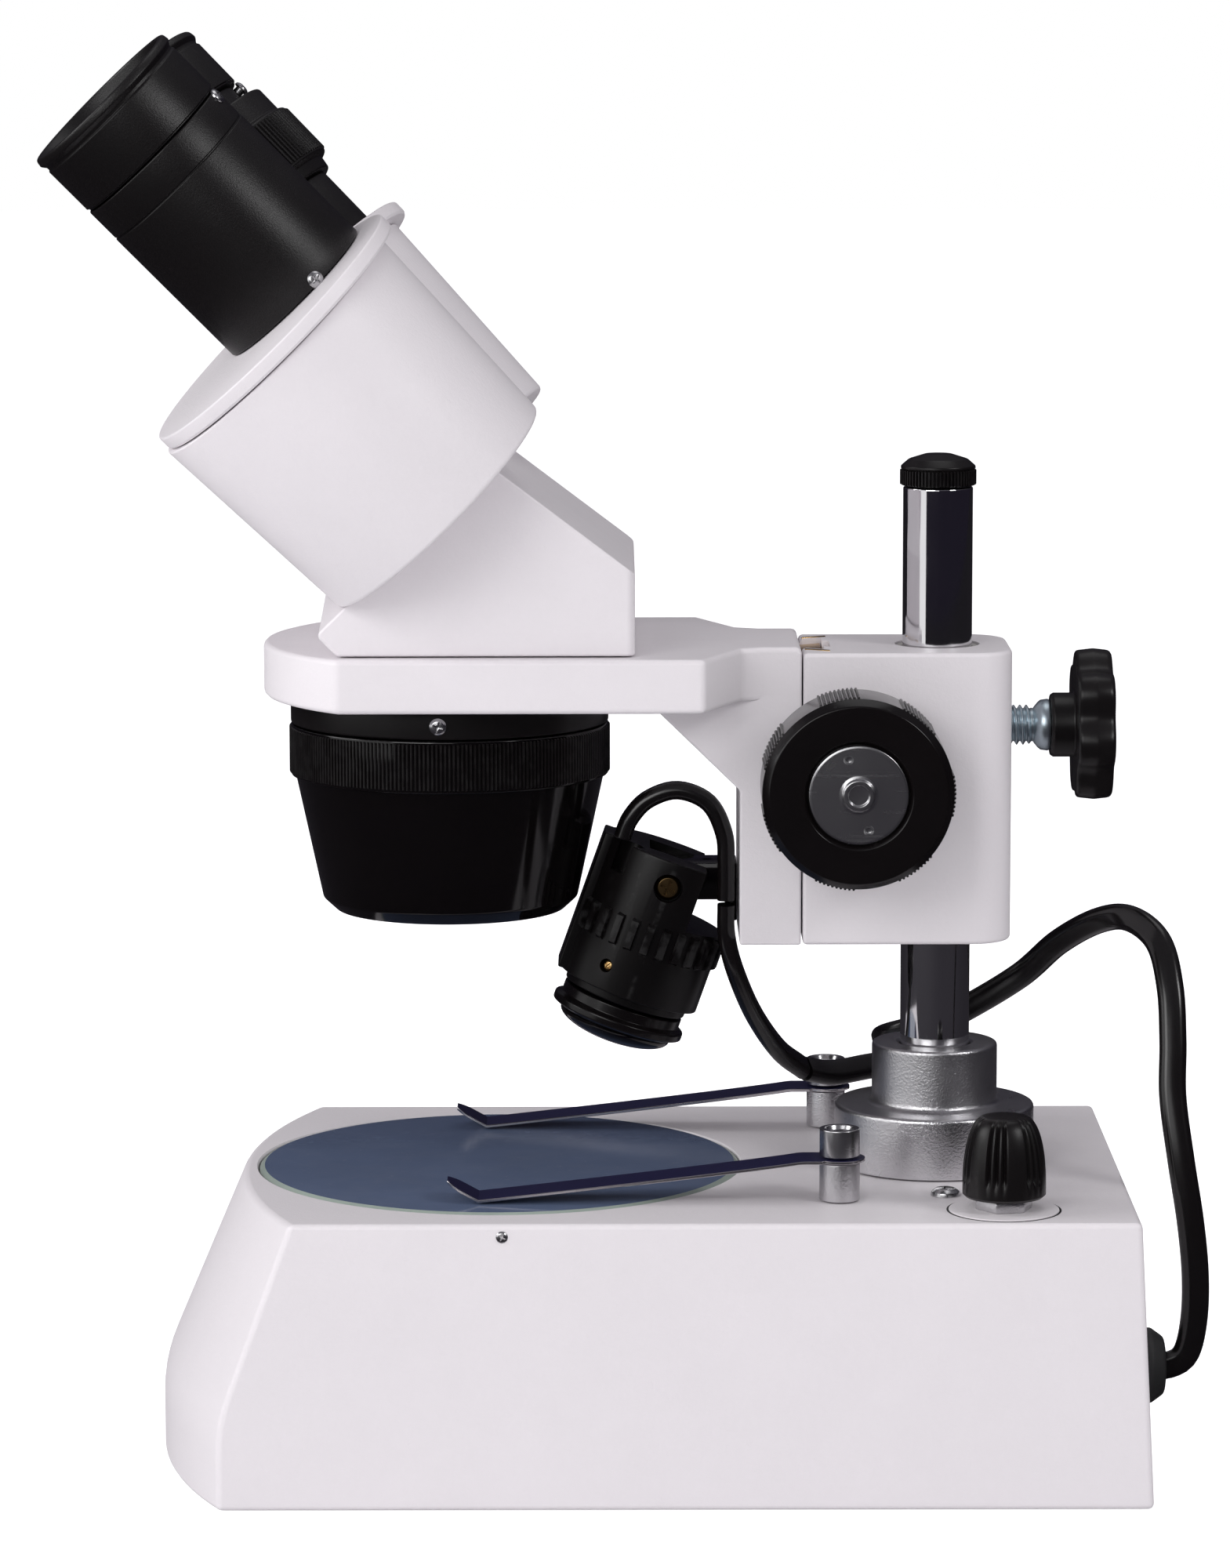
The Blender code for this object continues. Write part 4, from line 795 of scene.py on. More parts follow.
def rib_shape(depth, width, length, top=0.55):
    """A short rib along Z with sloping flanks, its root at x = 0."""
    half, crest, z = width / 2, width / 2 * top, length / 2
    ease = min(depth * 0.6, length * 0.15)
    sink = depth * 0.6
    rings = [[(-sink, -half, h), (0, -half, h), (depth, -crest, h - math.copysign(e, h)),
              (depth, crest, h - math.copysign(e, h)), (0, half, h), (-sink, half, h)]
             for h, e in ((-z, ease), (z, ease))]
    return skinned(rings)


def ribs(name, body, finish, count, radius, height, depth, width, length, place=None,
         sectors=1, share=1.1, start=0.0, top=0.55):
    """A ring of ribs as one piece."""
    rib = solid("rib_pattern", rib_shape(depth, width, length, top))
    host = solid(name, ([(0, 0, 0)], []))
    grown(host, "ribs", Rib=rib, Count=count, Radius=radius, Height=height, Sectors=sectors,
          Share=share, Start=start, Finish=FINISHES[finish])
    bpy.data.objects.remove(rib)
    return settle(host, body, finish, (), place, 20)


def cross_head():
    """A domed cross-recess screw head of unit diameter, its seat at z = 0."""
    profile = eased([(0, -0.35), (0.30, -0.35), (0.30, 0.0), (0.5, 0.0), (0.47, 0.14, 0.05),
                     (0.33, 0.25, 0.2), (0, 0.30)], 0.02)
    head = solid("cross_head", turned(profile, 40))
    for turn in (0, 90):
        slot = moved(block(-0.30, 0.30, -0.055, 0.055, 0.10, 0.5),
                     Matrix.Rotation(math.radians(turn), 4, "Z"))
        combine(head, slot)
    combine(head, turned([(0, 0.06), (0.10, 0.10), (0.16, 0.5), (0, 0.5)], 16))
    return bake(head)


def socket_head():
    """A set screw of unit diameter with a hexagon socket, its face at z = 0."""
    profile = eased([(0, -0.9), (0.42, -0.9), (0.5, -0.82), (0.5, -0.06), (0.44, 0.0), (0, 0.0)],
                    0.02)
    head = solid("socket_head", turned(profile, 32))
    hexagon = [(0.27 * math.cos(math.radians(60 * i)), 0.27 * math.sin(math.radians(60 * i)))
               for i in range(6)]
    combine(head, raised(hexagon, -0.5, 0.4))
    return bake(head)


def fasteners(name, body, finish, maker, spots):
    """Screw heads of one kind on one body.  A spot is (place, direction, diameter, turn)."""
    head = maker()
    for polygon in head.data.polygons:
        polygon.use_smooth = True
    head.data.set_sharp_from_angle(angle=math.radians(35))
    host = solid(name, ([tuple(p) for p, _, _, _ in spots], []))
    marks = host.data.attributes
    marks.new("turn", "FLOAT_VECTOR", "POINT")
    marks.new("size", "FLOAT", "POINT")
    for i, (_, direction, diameter, spin) in enumerate(spots):
        facing = aimed((0, 0, 0), direction) @ Matrix.Rotation(math.radians(spin), 4, "Z")
        marks["turn"].data[i].vector = facing.to_euler()
        marks["size"].data[i].value = diameter
    grown(host, "screws", Head=head, Finish=FINISHES[finish])
    bpy.data.objects.remove(head)
    return settle(host, body, finish)


# ---------------------------------------------------------------------------
# base
# ---------------------------------------------------------------------------
def bowed_nose(corner, apex, half, count=30):
    """Points of the bowed nose, from the -Y corner round to the +Y corner."""
    sag = corner - apex
    radius = (half * half + sag * sag) / (2 * sag)
    reach = math.asin(half / radius)
    points = []
    for i in range(count + 1):
        a = -reach + 2 * reach * i / count
        points.append((apex + radius * (1 - math.cos(a)), radius * math.sin(a)))
    return points


def knee(z, soft=5.0 * MM):
    """0 below the break, rising evenly to 1 at the top, with an eased turn between."""
    t = z - BASE_BREAK
    if t < -soft:
        eased_t = 0.0
    elif t > soft:
        eased_t = t
    else:
        eased_t = (t + soft) ** 2 / (4 * soft)
    return eased_t / (BASE_TOP - BASE_BREAK)


def base_plan(z, inset=0.0):
    t = z / BASE_TOP
    half = BASE_HALF_FOOT + (BASE_HALF_TOP - BASE_HALF_FOOT) * t - inset
    rear = BASE_REAR_FOOT + (BASE_REAR_TOP - BASE_REAR_FOOT) * t - inset
    k = knee(z)
    nose = BASE_NOSE_FOOT + (BASE_NOSE_TOP - BASE_NOSE_FOOT) * k + inset
    corner = BASE_CORNER_FOOT + (BASE_CORNER_TOP - BASE_CORNER_FOOT) * k + inset
    front = bowed_nose(corner, nose, half)
    return [(rear, half), *reversed(front), (rear, -half)]


def base_skin(levels, inset=0.0):
    rings = []
    for z in levels:
        plan = base_plan(min(max(z, 0.0), BASE_TOP), inset)
        rings.append([(x, y, z) for x, y in plan])
    return skinned(rings)


def make_base():
    """The hollow lamp base with its seats and holes."""
    turns = [BASE_BREAK + d * MM for d in (-5, -3, -1, 1, 3, 5)]
    shell = solid("base_casting", base_skin([0.0, *turns, BASE_TOP]))
    soften(shell, sizes().casting_edge, 4, 35)
    combine(shell, base_skin([-2 * MM, *turns, BASE_TOP - BASE_ROOF], BASE_WALL))
    seat_z = low("stage_plate").z - GAP
    ledge = PLATE_R - 4 * MM
    seat = turned([(0, seat_z - 20 * MM), (ledge, seat_z - 20 * MM), (ledge, seat_z),
                   (PLATE_R + GAP, seat_z), (PLATE_R + GAP, BASE_TOP - 0.3 * MM),
                   (PLATE_R + GAP + 0.5 * MM, BASE_TOP + 0.4 * MM), (0, BASE_TOP + 0.4 * MM)],
                  160)
    combine(shell, seat, place=at(PLATE.x, PLATE.y))
    deep = BASE_TOP - BASE_ROOF - 5 * MM
    holes = [(POST.x, POST.y, 1.8), (POST.x, -POST.y, 1.8), (PILLAR.x, PILLAR.y, 3.3),
             (DIMMER.x, DIMMER.y, 3.8)]
    for x, y, r in holes:
        combine(shell, rod(r * MM, deep, BASE_TOP + 5 * MM, 32), place=at(x, y))
    combine(shell, rod(5.0 * MM, -8 * MM, 8 * MM, 32),
            place=aimed((BASE_REAR_FOOT, GROMMET.y, GROMMET.z), (1, 0, 0)))
    settle(shell, "stand", "powder white", "base_shell", sharp=35, even=True)


def make_base_fittings():
    """Stage glass, dimmer seat and its painted shadow ring, grommet and base screws."""
    z0, z1, r = low("stage_plate").z, PLATE_TOP, PLATE_R
    profile = [(0, z0), (r - 0.5 * MM, z0), (r, z0 + 0.5 * MM), (r, z1 - 0.7 * MM),
               (r - 1.0 * MM, z1), (0, z1)]
    plate = solid("stage_glass_plate", turned(eased(profile, 0.12 * MM, steps=2), 160))
    settle(plate, "stand", ["ground glass", "glass edge"], "stage_plate",
           at(PLATE.x, PLATE.y))
    for polygon in plate.data.polygons:
        reach = (Vector(polygon.center) - Vector((PLATE.x, PLATE.y, polygon.center.z))).length
        polygon.material_index = 1 if reach > r - 1.15 * MM else 0

    seat = [(0, BASE_TOP - 0.2 * MM), (10.5 * MM, BASE_TOP - 0.2 * MM),
            (10.5 * MM, BASE_TOP + 0.28 * MM), (0, BASE_TOP + 0.28 * MM)]
    lathe("dimmer_seat", seat, "stand", "powder white",
          place=at(DIMMER.x, DIMMER.y), radius=0.15 * MM)
    # A thin near-black ring at the foot of the dimmer seat is painted shadow, standing in for the shade of
    # the seat's step.
    line = [(10.55 * MM, BASE_TOP - 0.1 * MM), (10.95 * MM, BASE_TOP - 0.1 * MM),
            (10.95 * MM, BASE_TOP + 0.04 * MM), (10.55 * MM, BASE_TOP + 0.04 * MM)]
    lathe("dimmer_seat_line", line, "stand", "dark well", closed=True,
          place=at(DIMMER.x, DIMMER.y), radius=0.0)

    nut = solid("dimmer_hex_nut",
                raised(hexagon(5.6 * MM, 10), BASE_TOP + GAP, BASE_TOP + 2.4 * MM))
    soften(nut, 0.25 * MM, 2)
    combine(nut, rod(3.8 * MM, 50 * MM, 60 * MM, 32))
    settle(nut, "stand", "satin aluminium", "dimmer_nut",
           at(DIMMER.x, DIMMER.y))

    outer = high("cord_grommet").x - low("cord_grommet").x
    wall = 5.5 * MM
    r, bore = GROMMET.z - low("cord_grommet").z, 2.9 * MM
    profile = [(bore, 0.2 * MM), (4.4 * MM, 0), (4.4 * MM, wall + 0.6 * MM),
               (r, wall + 0.6 * MM), (r, wall + 2.6 * MM, 1.2 * MM),
               (r - 1.8 * MM, outer - 0.3 * MM, 1.5 * MM), (bore + 0.7 * MM, outer, 0.5 * MM),
               (bore, outer - 0.8 * MM)]
    lathe("lead_grommet", profile, "stand", "rubber", "cord_grommet",
          aimed((low("cord_grommet").x, GROMMET.y, GROMMET.z), (1, 0, 0)), closed=True)

    x, z = PLATE_SCREW_X, PLATE_SCREW_Z
    side = BASE_HALF_FOOT - (BASE_HALF_FOOT - BASE_HALF_TOP) * z / BASE_TOP
    fasteners("plate_set_screws", "stand", "bright steel", cross_head,
              [((x, -side + 0.25 * MM, z), (0, -1, 0.046), 2.4 * MM, 20),
               ((x, side - 0.25 * MM, z), (0, 1, 0.046), 2.4 * MM, 50)])
    fasteners("base_top_screw", "stand", "bright steel", cross_head,
              [((BASE_SCREW_X, BASE_SCREW_Y, BASE_TOP), (0, 0, 1), 5.8 * MM, 25)])


def make_clips():
    """Spring clips, their spacers and screws."""
    thick = 0.6 * MM
    top_z = high("clip_spacer_near").z + GAP + thick / 2
    touch_z = PLATE_TOP + GAP + thick / 2
    tip, touch = low("stage_clip_near").x, -25.0 * MM
    start = POST.x - 7.5 * MM

    def height(x):
        if x >= start:
            return top_z
        if x >= touch:
            t = (start - x) / (start - touch)
            return top_z + (touch_z - top_z) * t ** 0.92
        return touch_z + (touch - x) * 0.55

    def half_width(x):
        eye, reach = 4.9 * MM, x - POST.x
        if reach > -3.0 * MM:
            return math.sqrt(max(eye * eye - reach * reach, (0.12 * eye) ** 2))
        if x < tip + 3.0 * MM:
            t = (tip + 3.0 * MM - x) / (3.0 * MM)
            return 4.5 * MM * (1 - 0.5 * t * t)
        return 4.5 * MM

    xs = [tip + d * MM for d in (0, 0.3, 0.8, 1.5, 2.2, 3.0, 4.2)] + [touch - 0.6 * MM, touch]
    xs += [touch + (start - touch) * (i / 22) for i in range(1, 22)]
    xs += [start - 0.5 * MM, start + 0.5 * MM]
    xs += [POST.x + 4.9 * MM * math.sin(math.radians(a)) for a in range(-45, 86, 8)]
    edge = 0.12 * MM
    for side, y in (("near", POST.y), ("far", -POST.y)):
        rings = []
        for x in xs:
            w, z, h = half_width(x), height(x), thick / 2
            section = ((-w, -h + edge), (-w + edge, -h), (w - edge, -h), (w, -h + edge),
                       (w, h - edge), (w - edge, h), (-w + edge, h), (-w, h - edge))
            rings.append([(x, y + a, z + b) for a, b in section])
        clip = solid("spring_clip_" + side, skinned(rings))
        combine(clip, rod(1.7 * MM, 50 * MM, 75 * MM, 32), place=at(POST.x, y))
        settle(clip, "clip_" + side, ["blued steel", "clip edge"],
               "stage_clip_" + side)
        for polygon in clip.data.polygons:
            polygon.material_index = 0 if polygon.normal.z > 0.8 else 1

        bottom, top = low("clip_spacer_" + side).z, high("clip_spacer_" + side).z
        lathe("post_spacer_" + side,
              [(1.7 * MM, bottom), (POST_R, bottom), (POST_R, top), (1.7 * MM, top)],
              "stand", "satin aluminium", "clip_spacer_" + side,
              at(POST.x, y), True, 64, 0.25 * MM)
        head, crown = top + thick + 2 * GAP, high("clip_screw_" + side).z
        screw = solid("post_screw_" + side, turned(eased(
            [(0, BASE_TOP - 7 * MM), (1.5 * MM, BASE_TOP - 7 * MM), (1.5 * MM, head),
             (POST_R, head), (POST_R, crown), (2.9 * MM, crown), (2.5 * MM, crown - 0.9 * MM),
             (0, crown - 0.9 * MM)], 0.25 * MM), 64))
        combine(screw, raised(hexagon(2.0 * MM, 15), crown - 3.4 * MM, crown + 1 * MM))
        settle(screw, "stand", "bright steel", "clip_screw_" + side,
               at(POST.x, y))


def make_pillar():
    """Pillar, its collar and its cap."""
    here = at(PILLAR.x, PILLAR.y)
    bottom, top = low("pillar_collar").z, high("pillar_collar").z
    bore, flange = PILLAR_R + GAP, radius_of("pillar_collar")
    step = BASE_TOP + 12.3 * MM
    neck = 12.35 * MM
    lathe("stand_collar",
          [(bore, bottom), (flange, bottom, 0.3 * MM), (flange, step, 0.9 * MM),
           (neck, step, 1.3 * MM), (neck, top, 0.8 * MM), (bore + 0.5 * MM, top),
           (bore, top - 0.5 * MM)],
          "stand", "satin aluminium", "pillar_collar", here, True, 144)
    z0, z1 = low("pillar").z, high("pillar").z
    lathe("stand_pillar", [(0, z0 + 18 * MM), (3.3 * MM, z0 + 18 * MM), (3.3 * MM, z0),
                           (PILLAR_R, z0), (PILLAR_R, z1), (4.1 * MM, z1),
                           (4.1 * MM, z1 - 10 * MM), (0, z1 - 10 * MM)],
          "stand", "chrome", "pillar", here, segments=128)
    cap_r, cap_top = radius_of("pillar_cap"), high("pillar_cap").z
    seat = z1 + GAP
    band = cap_top - 3.0 * MM
    root = cap_r - 0.4 * MM
    profile = [(0, seat - 8 * MM), (3.8 * MM, seat - 8 * MM), (3.8 * MM, seat), (root, seat),
               (root, band), (cap_r - 0.15 * MM, band + 0.1 * MM),
               (cap_r - 0.2 * MM, band + 0.6 * MM, 0.4 * MM),
               (cap_r - 1.7 * MM, band + 1.9 * MM, 1.5 * MM),
               (2.6 * MM, cap_top - 0.1 * MM, 2.0 * MM), (0, cap_top)]
    lathe("pillar_end_cap", profile, "stand", "moulded black", "pillar_cap",
          here, radius=0.15 * MM)
    ribs("pillar_cap_ribs", "stand", "moulded black", sizes().cap_ribs, root,
         (seat + band) / 2, 0.4 * MM, 0.46 * MM, band - seat, here)


def make_dimmer():
    """The fluted dimmer knob."""
    z0, top, r = low("dimmer_knob").z, high("dimmer_knob").z, DIMMER_R
    crown = 3.6 * MM
    profile = [(0, z0 + 9 * MM), (2.7 * MM, z0 + 9 * MM), (2.7 * MM, z0),
               (r - 0.5 * MM, z0), (r, z0 + 0.5 * MM), (r, z0 + 2.6 * MM)]
    rise = top - z0 - 2.6 * MM
    for i in range(1, 22):
        a = math.radians(90) * i / 22
        profile.append((crown + (r - crown) * math.cos(a) ** 0.85, z0 + 2.6 * MM
                        + rise * math.sin(a)))
    profile += [(crown - 0.3 * MM, top), (0, top)]

    def fluted(reach, z, a):
        up = (z - z0 - 2.6 * MM) / rise
        if up <= 0.0 or reach < crown + 0.02 * MM:
            return reach
        deep = 0.85 * MM * min(1.0, up * 9) * min(1.0, (1.0 - up) * 5 + 0.15)
        u = (math.degrees(a) / 60.0 + 0.45) % 1.0
        groove = 0.0
        for place in (0.50, 0.69, 0.88):
            off = abs(u - place) / 0.075
            if off < 1:
                groove = max(groove, math.cos(off * math.pi / 2) ** 1.2)
        return reach - deep * groove

    settle(solid("dimmer_knob_fluted", turned(profile, 252, False, fluted)), "dimmer",
           "moulded black", "dimmer_knob", at(DIMMER.x, DIMMER.y), 40)


# ---------------------------------------------------------------------------
# focus block, drive and clamp
# ---------------------------------------------------------------------------
SLIDE_NECK, SLIDE_BACK, RACK_HALF = 6.5 * MM, 9.0 * MM, 4.5 * MM
SLIDE_X0, SLIDE_X1, RACK_X1 = 37.9 * MM, 41.6 * MM, 42.9 * MM


def make_focus_block():
    """The block on the pillar, with its dovetail way, its bore and its gib strips."""
    half, r = BLOCK_HIGH.y, 8.0 * MM
    plan = [(SEAM_X + GAP, half), (SEAM_X + GAP, -half)]
    for cy, first in ((-half + r, -90), (half - r, 0)):
        for i in range(13):
            a = math.radians(first + 7.5 * i)
            plan.append((BLOCK_HIGH.x - r + r * math.cos(a), cy + r * math.sin(a)))
    z0, z1 = BLOCK_LOW.z, BLOCK_HIGH.z
    body = solid("focus_block_casting", raised(plan, z0, z1))
    soften(body, sizes().casting_edge * 0.8, 3, 40)
    bore = turned([(0, z0 - 5 * MM), (8.3 * MM, z0 - 5 * MM), (8.3 * MM, z1 + 5 * MM),
                   (0, z1 + 5 * MM)], 96)
    combine(body, bore, place=at(PILLAR.x, PILLAR.y))
    c = GAP
    way = [(SEAM_X - 5 * MM, -SLIDE_NECK - c), (SLIDE_X0, -SLIDE_NECK - c),
           (SLIDE_X1 + c, -SLIDE_BACK - c), (SLIDE_X1 + c, -RACK_HALF - c),
           (RACK_X1 + c, -RACK_HALF - c), (RACK_X1 + c, RACK_HALF + c),
           (SLIDE_X1 + c, RACK_HALF + c), (SLIDE_X1 + c, SLIDE_BACK + c),
           (SLIDE_X0, SLIDE_NECK + c), (SEAM_X - 5 * MM, SLIDE_NECK + c)]
    combine(body, raised(way, z0 - 5 * MM, z1 + 5 * MM))
    combine(body, rod(3.1 * MM, -22 * MM, 22 * MM, 32), place=aimed(SHAFT, (0, 1, 0)))
    combine(body, rod(4.3 * MM, -7 * MM, 7 * MM, 32), place=aimed(SHAFT, (0, 1, 0)))
    combine(body, rod(4.1 * MM, 0, 40 * MM, 32),
            place=aimed((PILLAR.x, 0, CLAMP.z), (1, 0, 0)))
    settle(body, "arm", "powder white", "focus_block", sharp=35, even=True)

    for side, s in (("near", -1), ("far", 1)):
        strip = raised([(SEAM_X + 0.8 * MM, s * 8.6 * MM), (SEAM_X + 5.6 * MM, s * 11.2 * MM),
                        (SEAM_X + 5.6 * MM, s * 12.6 * MM), (SEAM_X + 0.8 * MM, s * 10.0 * MM)],
                       z1 - 3 * MM, z1 + 0.12 * MM)
        gib = soften(solid("gib_strip_" + side, strip), 0.12 * MM, 2)
        settle(gib, "arm", "brass")


def make_focus_rack():
    """The toothed rack behind the slide."""
    z0, z1 = low("focus_rack").z, high("focus_rack").z
    pitch = 1.6 * MM
    teeth = int((z1 - z0) / pitch)
    start = (z0 + z1 - teeth * pitch) / 2
    back, crest, root = SLIDE_X1 + 0.1 * MM, RACK_X1, RACK_X1 - 0.75 * MM
    side = [(back, z0)]
    side.append((root, z0))
    for i in range(teeth):
        z = start + i * pitch
        side += [(root, z + 0.30 * pitch), (crest, z + 0.42 * pitch),
                 (crest, z + 0.68 * pitch), (root, z + 0.80 * pitch)]
    side += [(root, z1), (back, z1)]
    rings = [[(x, y, z) for x, z in side] for y in (-RACK_HALF, RACK_HALF)]
    settle(solid("focus_rack_toothed", skinned(rings)), "carrier", "brass",
           "focus_rack", sharp=20)


def make_focus_wheels():
    """Both focus wheels with their ribbed grips and chromed faces."""
    inner, outer, r = 24.0 * MM, high("focus_knob_far").y, 18.2 * MM
    hub = BLOCK_HIGH.y + 2 * GAP
    shaft_r = 3.3 * MM
    for side, s in (("near", -1), ("far", 1)):
        place = aimed((SHAFT.x, 0, SHAFT.z), (0, s, 0), (0, 0, 1))
        profile = [(shaft_r, hub), (9.5 * MM, hub), (9.5 * MM, inner, 1.0 * MM),
                   (r - 1.2 * MM, inner, 0.8 * MM), (r, inner + 1.2 * MM, 0.8 * MM),
                   (r, outer - 1.7 * MM, 0.3 * MM), (r - 1.3 * MM, outer, 0.5 * MM),
                   (10.4 * MM, outer, 0.3 * MM),
                   (9.7 * MM, outer - 1.2 * MM, 0.2 * MM), (shaft_r, outer - 1.2 * MM)]
        lathe("focus_wheel_" + side, profile, "focus_shaft", "wheel black",
              "focus_knob_" + side, place, True, 144, 0.3 * MM)
        s_count = sizes().wheel_sectors
        ribs("focus_wheel_grips_" + side, "focus_shaft", "moulded black",
             sizes().wheel_ribs, r, (inner + outer) / 2 - 0.3 * MM, 0.32 * MM, 0.56 * MM,
             outer - inner - 3.2 * MM, place, s_count, 0.47)
        face = outer - 0.35 * MM
        disc = solid("focus_disc_" + side, turned(eased(
            [(0, outer - 2.0 * MM), (9.45 * MM, outer - 1.15 * MM), (9.45 * MM, face - 0.1 * MM),
             (9.0 * MM, face), (3.7 * MM, face, 0.2 * MM), (3.15 * MM, face + 0.15 * MM),
             (2.9 * MM, face + 0.75 * MM, 0.3 * MM), (2.1 * MM, face + 0.75 * MM, 0.2 * MM),
             (1.9 * MM, face + 0.35 * MM, 0.2 * MM), (0, face + 0.35 * MM)], 0.2 * MM), 112))
        for turn in (0, 180):
            spot = Matrix.Rotation(math.radians(turn - 16 * s), 4, "Z") @ Vector((7.0 * MM, 0, 0))
            combine(disc, turned(eased([(0, face - 0.7 * MM), (0.55 * MM, face - 0.6 * MM),
                                        (1.1 * MM, face + 0.2 * MM), (0, face + 0.2 * MM)],
                                       0.1 * MM), 28),
                    place=at(spot.x, spot.y))
        settle(disc, "focus_shaft", "bright steel", (), place, 30)


def make_clamp():
    """Lobed clamp knob on its threaded screw."""
    place = aimed((0, 0, CLAMP.z), (1, 0, 0), (0, 0, 1))
    x0, x1, r = 91.2 * MM, high("clamp_knob").x, CLAMP.z - low("clamp_knob").z
    hub_x, hub_r = low("clamp_knob").x, 6.3 * MM

    def lobed(reach, z, a):
        if reach < hub_r + 0.2 * MM:
            return reach
        share = (reach - hub_r) / (r - hub_r)
        wave = 0.5 - 0.5 * math.cos(7 * a)
        return reach - 2.1 * MM * wave ** 1.4 * share

    profile = [(3.5 * MM, hub_x), (hub_r - 0.4 * MM, hub_x, 0.3 * MM),
               (hub_r, hub_x + 0.6 * MM, 0.3 * MM), (hub_r, x0, 0.5 * MM),
               (hub_r + 1.0 * MM, x0, 0.0), (r - 0.4 * MM, x0, 0.9 * MM),
               (r, (x0 + x1) / 2, 3.0 * MM), (r - 0.4 * MM, x1, 1.3 * MM),
               (hub_r + 1.6 * MM, x1, 0.6 * MM), (hub_r + 1.0 * MM, x1 - 0.9 * MM, 0.6 * MM),
               (4.6 * MM, x1 - 0.9 * MM, 0.4 * MM), (4.3 * MM, x1 - 3.6 * MM),
               (3.5 * MM, x1 - 3.6 * MM)]
    lathe("clamp_knob_lobed", profile, "clamp_knob", "moulded black",
          "clamp_knob", place, True, 210, 0.2 * MM, lobed, 36)

    tip, tail = low("clamp_screw").x, high("clamp_screw").x
    crest, pitch, around = 4.0 * MM, 1.25 * MM, 40
    root = crest - 0.62 * pitch
    end = hub_x - 3.4 * MM
    z, step = tip, pitch / 10
    rings = []
    while z < end:
        ring = []
        for i in range(around):
            phase = (z / pitch - i / around) % 1.0
            tooth = max(0.0, 1.0 - abs(phase - 0.5) * 2.35)
            fade = min(1.0, (z - tip) / (1.2 * MM), (end - z) / (0.9 * MM))
            a = 2 * math.pi * i / around
            reach = root + (crest - root) * min(0.92, tooth * 1.1) * fade
            ring.append((reach * math.cos(a), reach * math.sin(a), z))
        rings.append(ring)
        z += step
    shoulder = [(root, end), (root + 0.3 * MM, end + 0.2 * MM), (4.5 * MM, end + 1.0 * MM),
                (4.9 * MM, end + 1.5 * MM), (5.1 * MM, hub_x - 0.5 * MM),
                (4.9 * MM, hub_x - 0.15 * MM), (3.2 * MM, hub_x - 0.1 * MM), (3.2 * MM, tail)]
    for reach, z in shoulder:
        rings.append([(reach * math.cos(2 * math.pi * i / around),
                       reach * math.sin(2 * math.pi * i / around), z) for i in range(around)])
    settle(solid("clamp_screw_threaded", skinned(rings)), "clamp_screw",
           "zinc plate", "clamp_screw", place, 50)


# ---------------------------------------------------------------------------
# carrier, objective and head
# ---------------------------------------------------------------------------
HEAD_HALF = 33.2 * MM
HEAD_SLOPE = math.radians(37)
LENS_CIRCLE_R = 13.5 * MM
MOUNT_SCREW_Z = 146.0 * MM


def make_carrier():
    """The casting that carries the head, with its upright slide column."""
    nose = bowed_nose(CARRIER_LOW.x + 15.6 * MM, CARRIER_LOW.x, CARRIER_HIGH.y, 36)
    half = BLOCK_HIGH.y
    neck = 25.8 * MM
    rear = [(18.3 * MM, CARRIER_HIGH.y), (neck, half + 2 * MM), (neck + 4 * MM, half),
            (SEAM_X, half)]
    plan = [(x, -y) for x, y in reversed(rear)] + nose + rear
    plate = solid("head_carrier_casting", raised(plan, CARRIER_BOTTOM, CARRIER_HIGH.z))
    soften(plate, sizes().casting_edge, 3, 40)
    side = [(25.4 * MM, CARRIER_LOW.z), (SEAM_X, CARRIER_LOW.z),
            (SEAM_X, CARRIER_HIGH.z - 0.9 * MM), (6.4 * MM, CARRIER_HIGH.z - 0.9 * MM),
            (6.4 * MM, CARRIER_BOTTOM), (7.4 * MM, CARRIER_BOTTOM), (25.4 * MM, 131.5 * MM)]
    rings = [[(x, y, z) for x, z in side] for y in (-half + 0.02 * MM, half - 0.02 * MM)]
    combine(plate, skinned(rings), "UNION", soft=sizes().casting_edge * 0.7)
    combine(plate, rod(21 * MM, CARRIER_BOTTOM - 5 * MM, CARRIER_HIGH.z + 5 * MM, 64),
            place=at(OPTIC.x, OPTIC.y))
    settle(plate, "carrier", "powder white", "head_carrier", sharp=35, even=True)


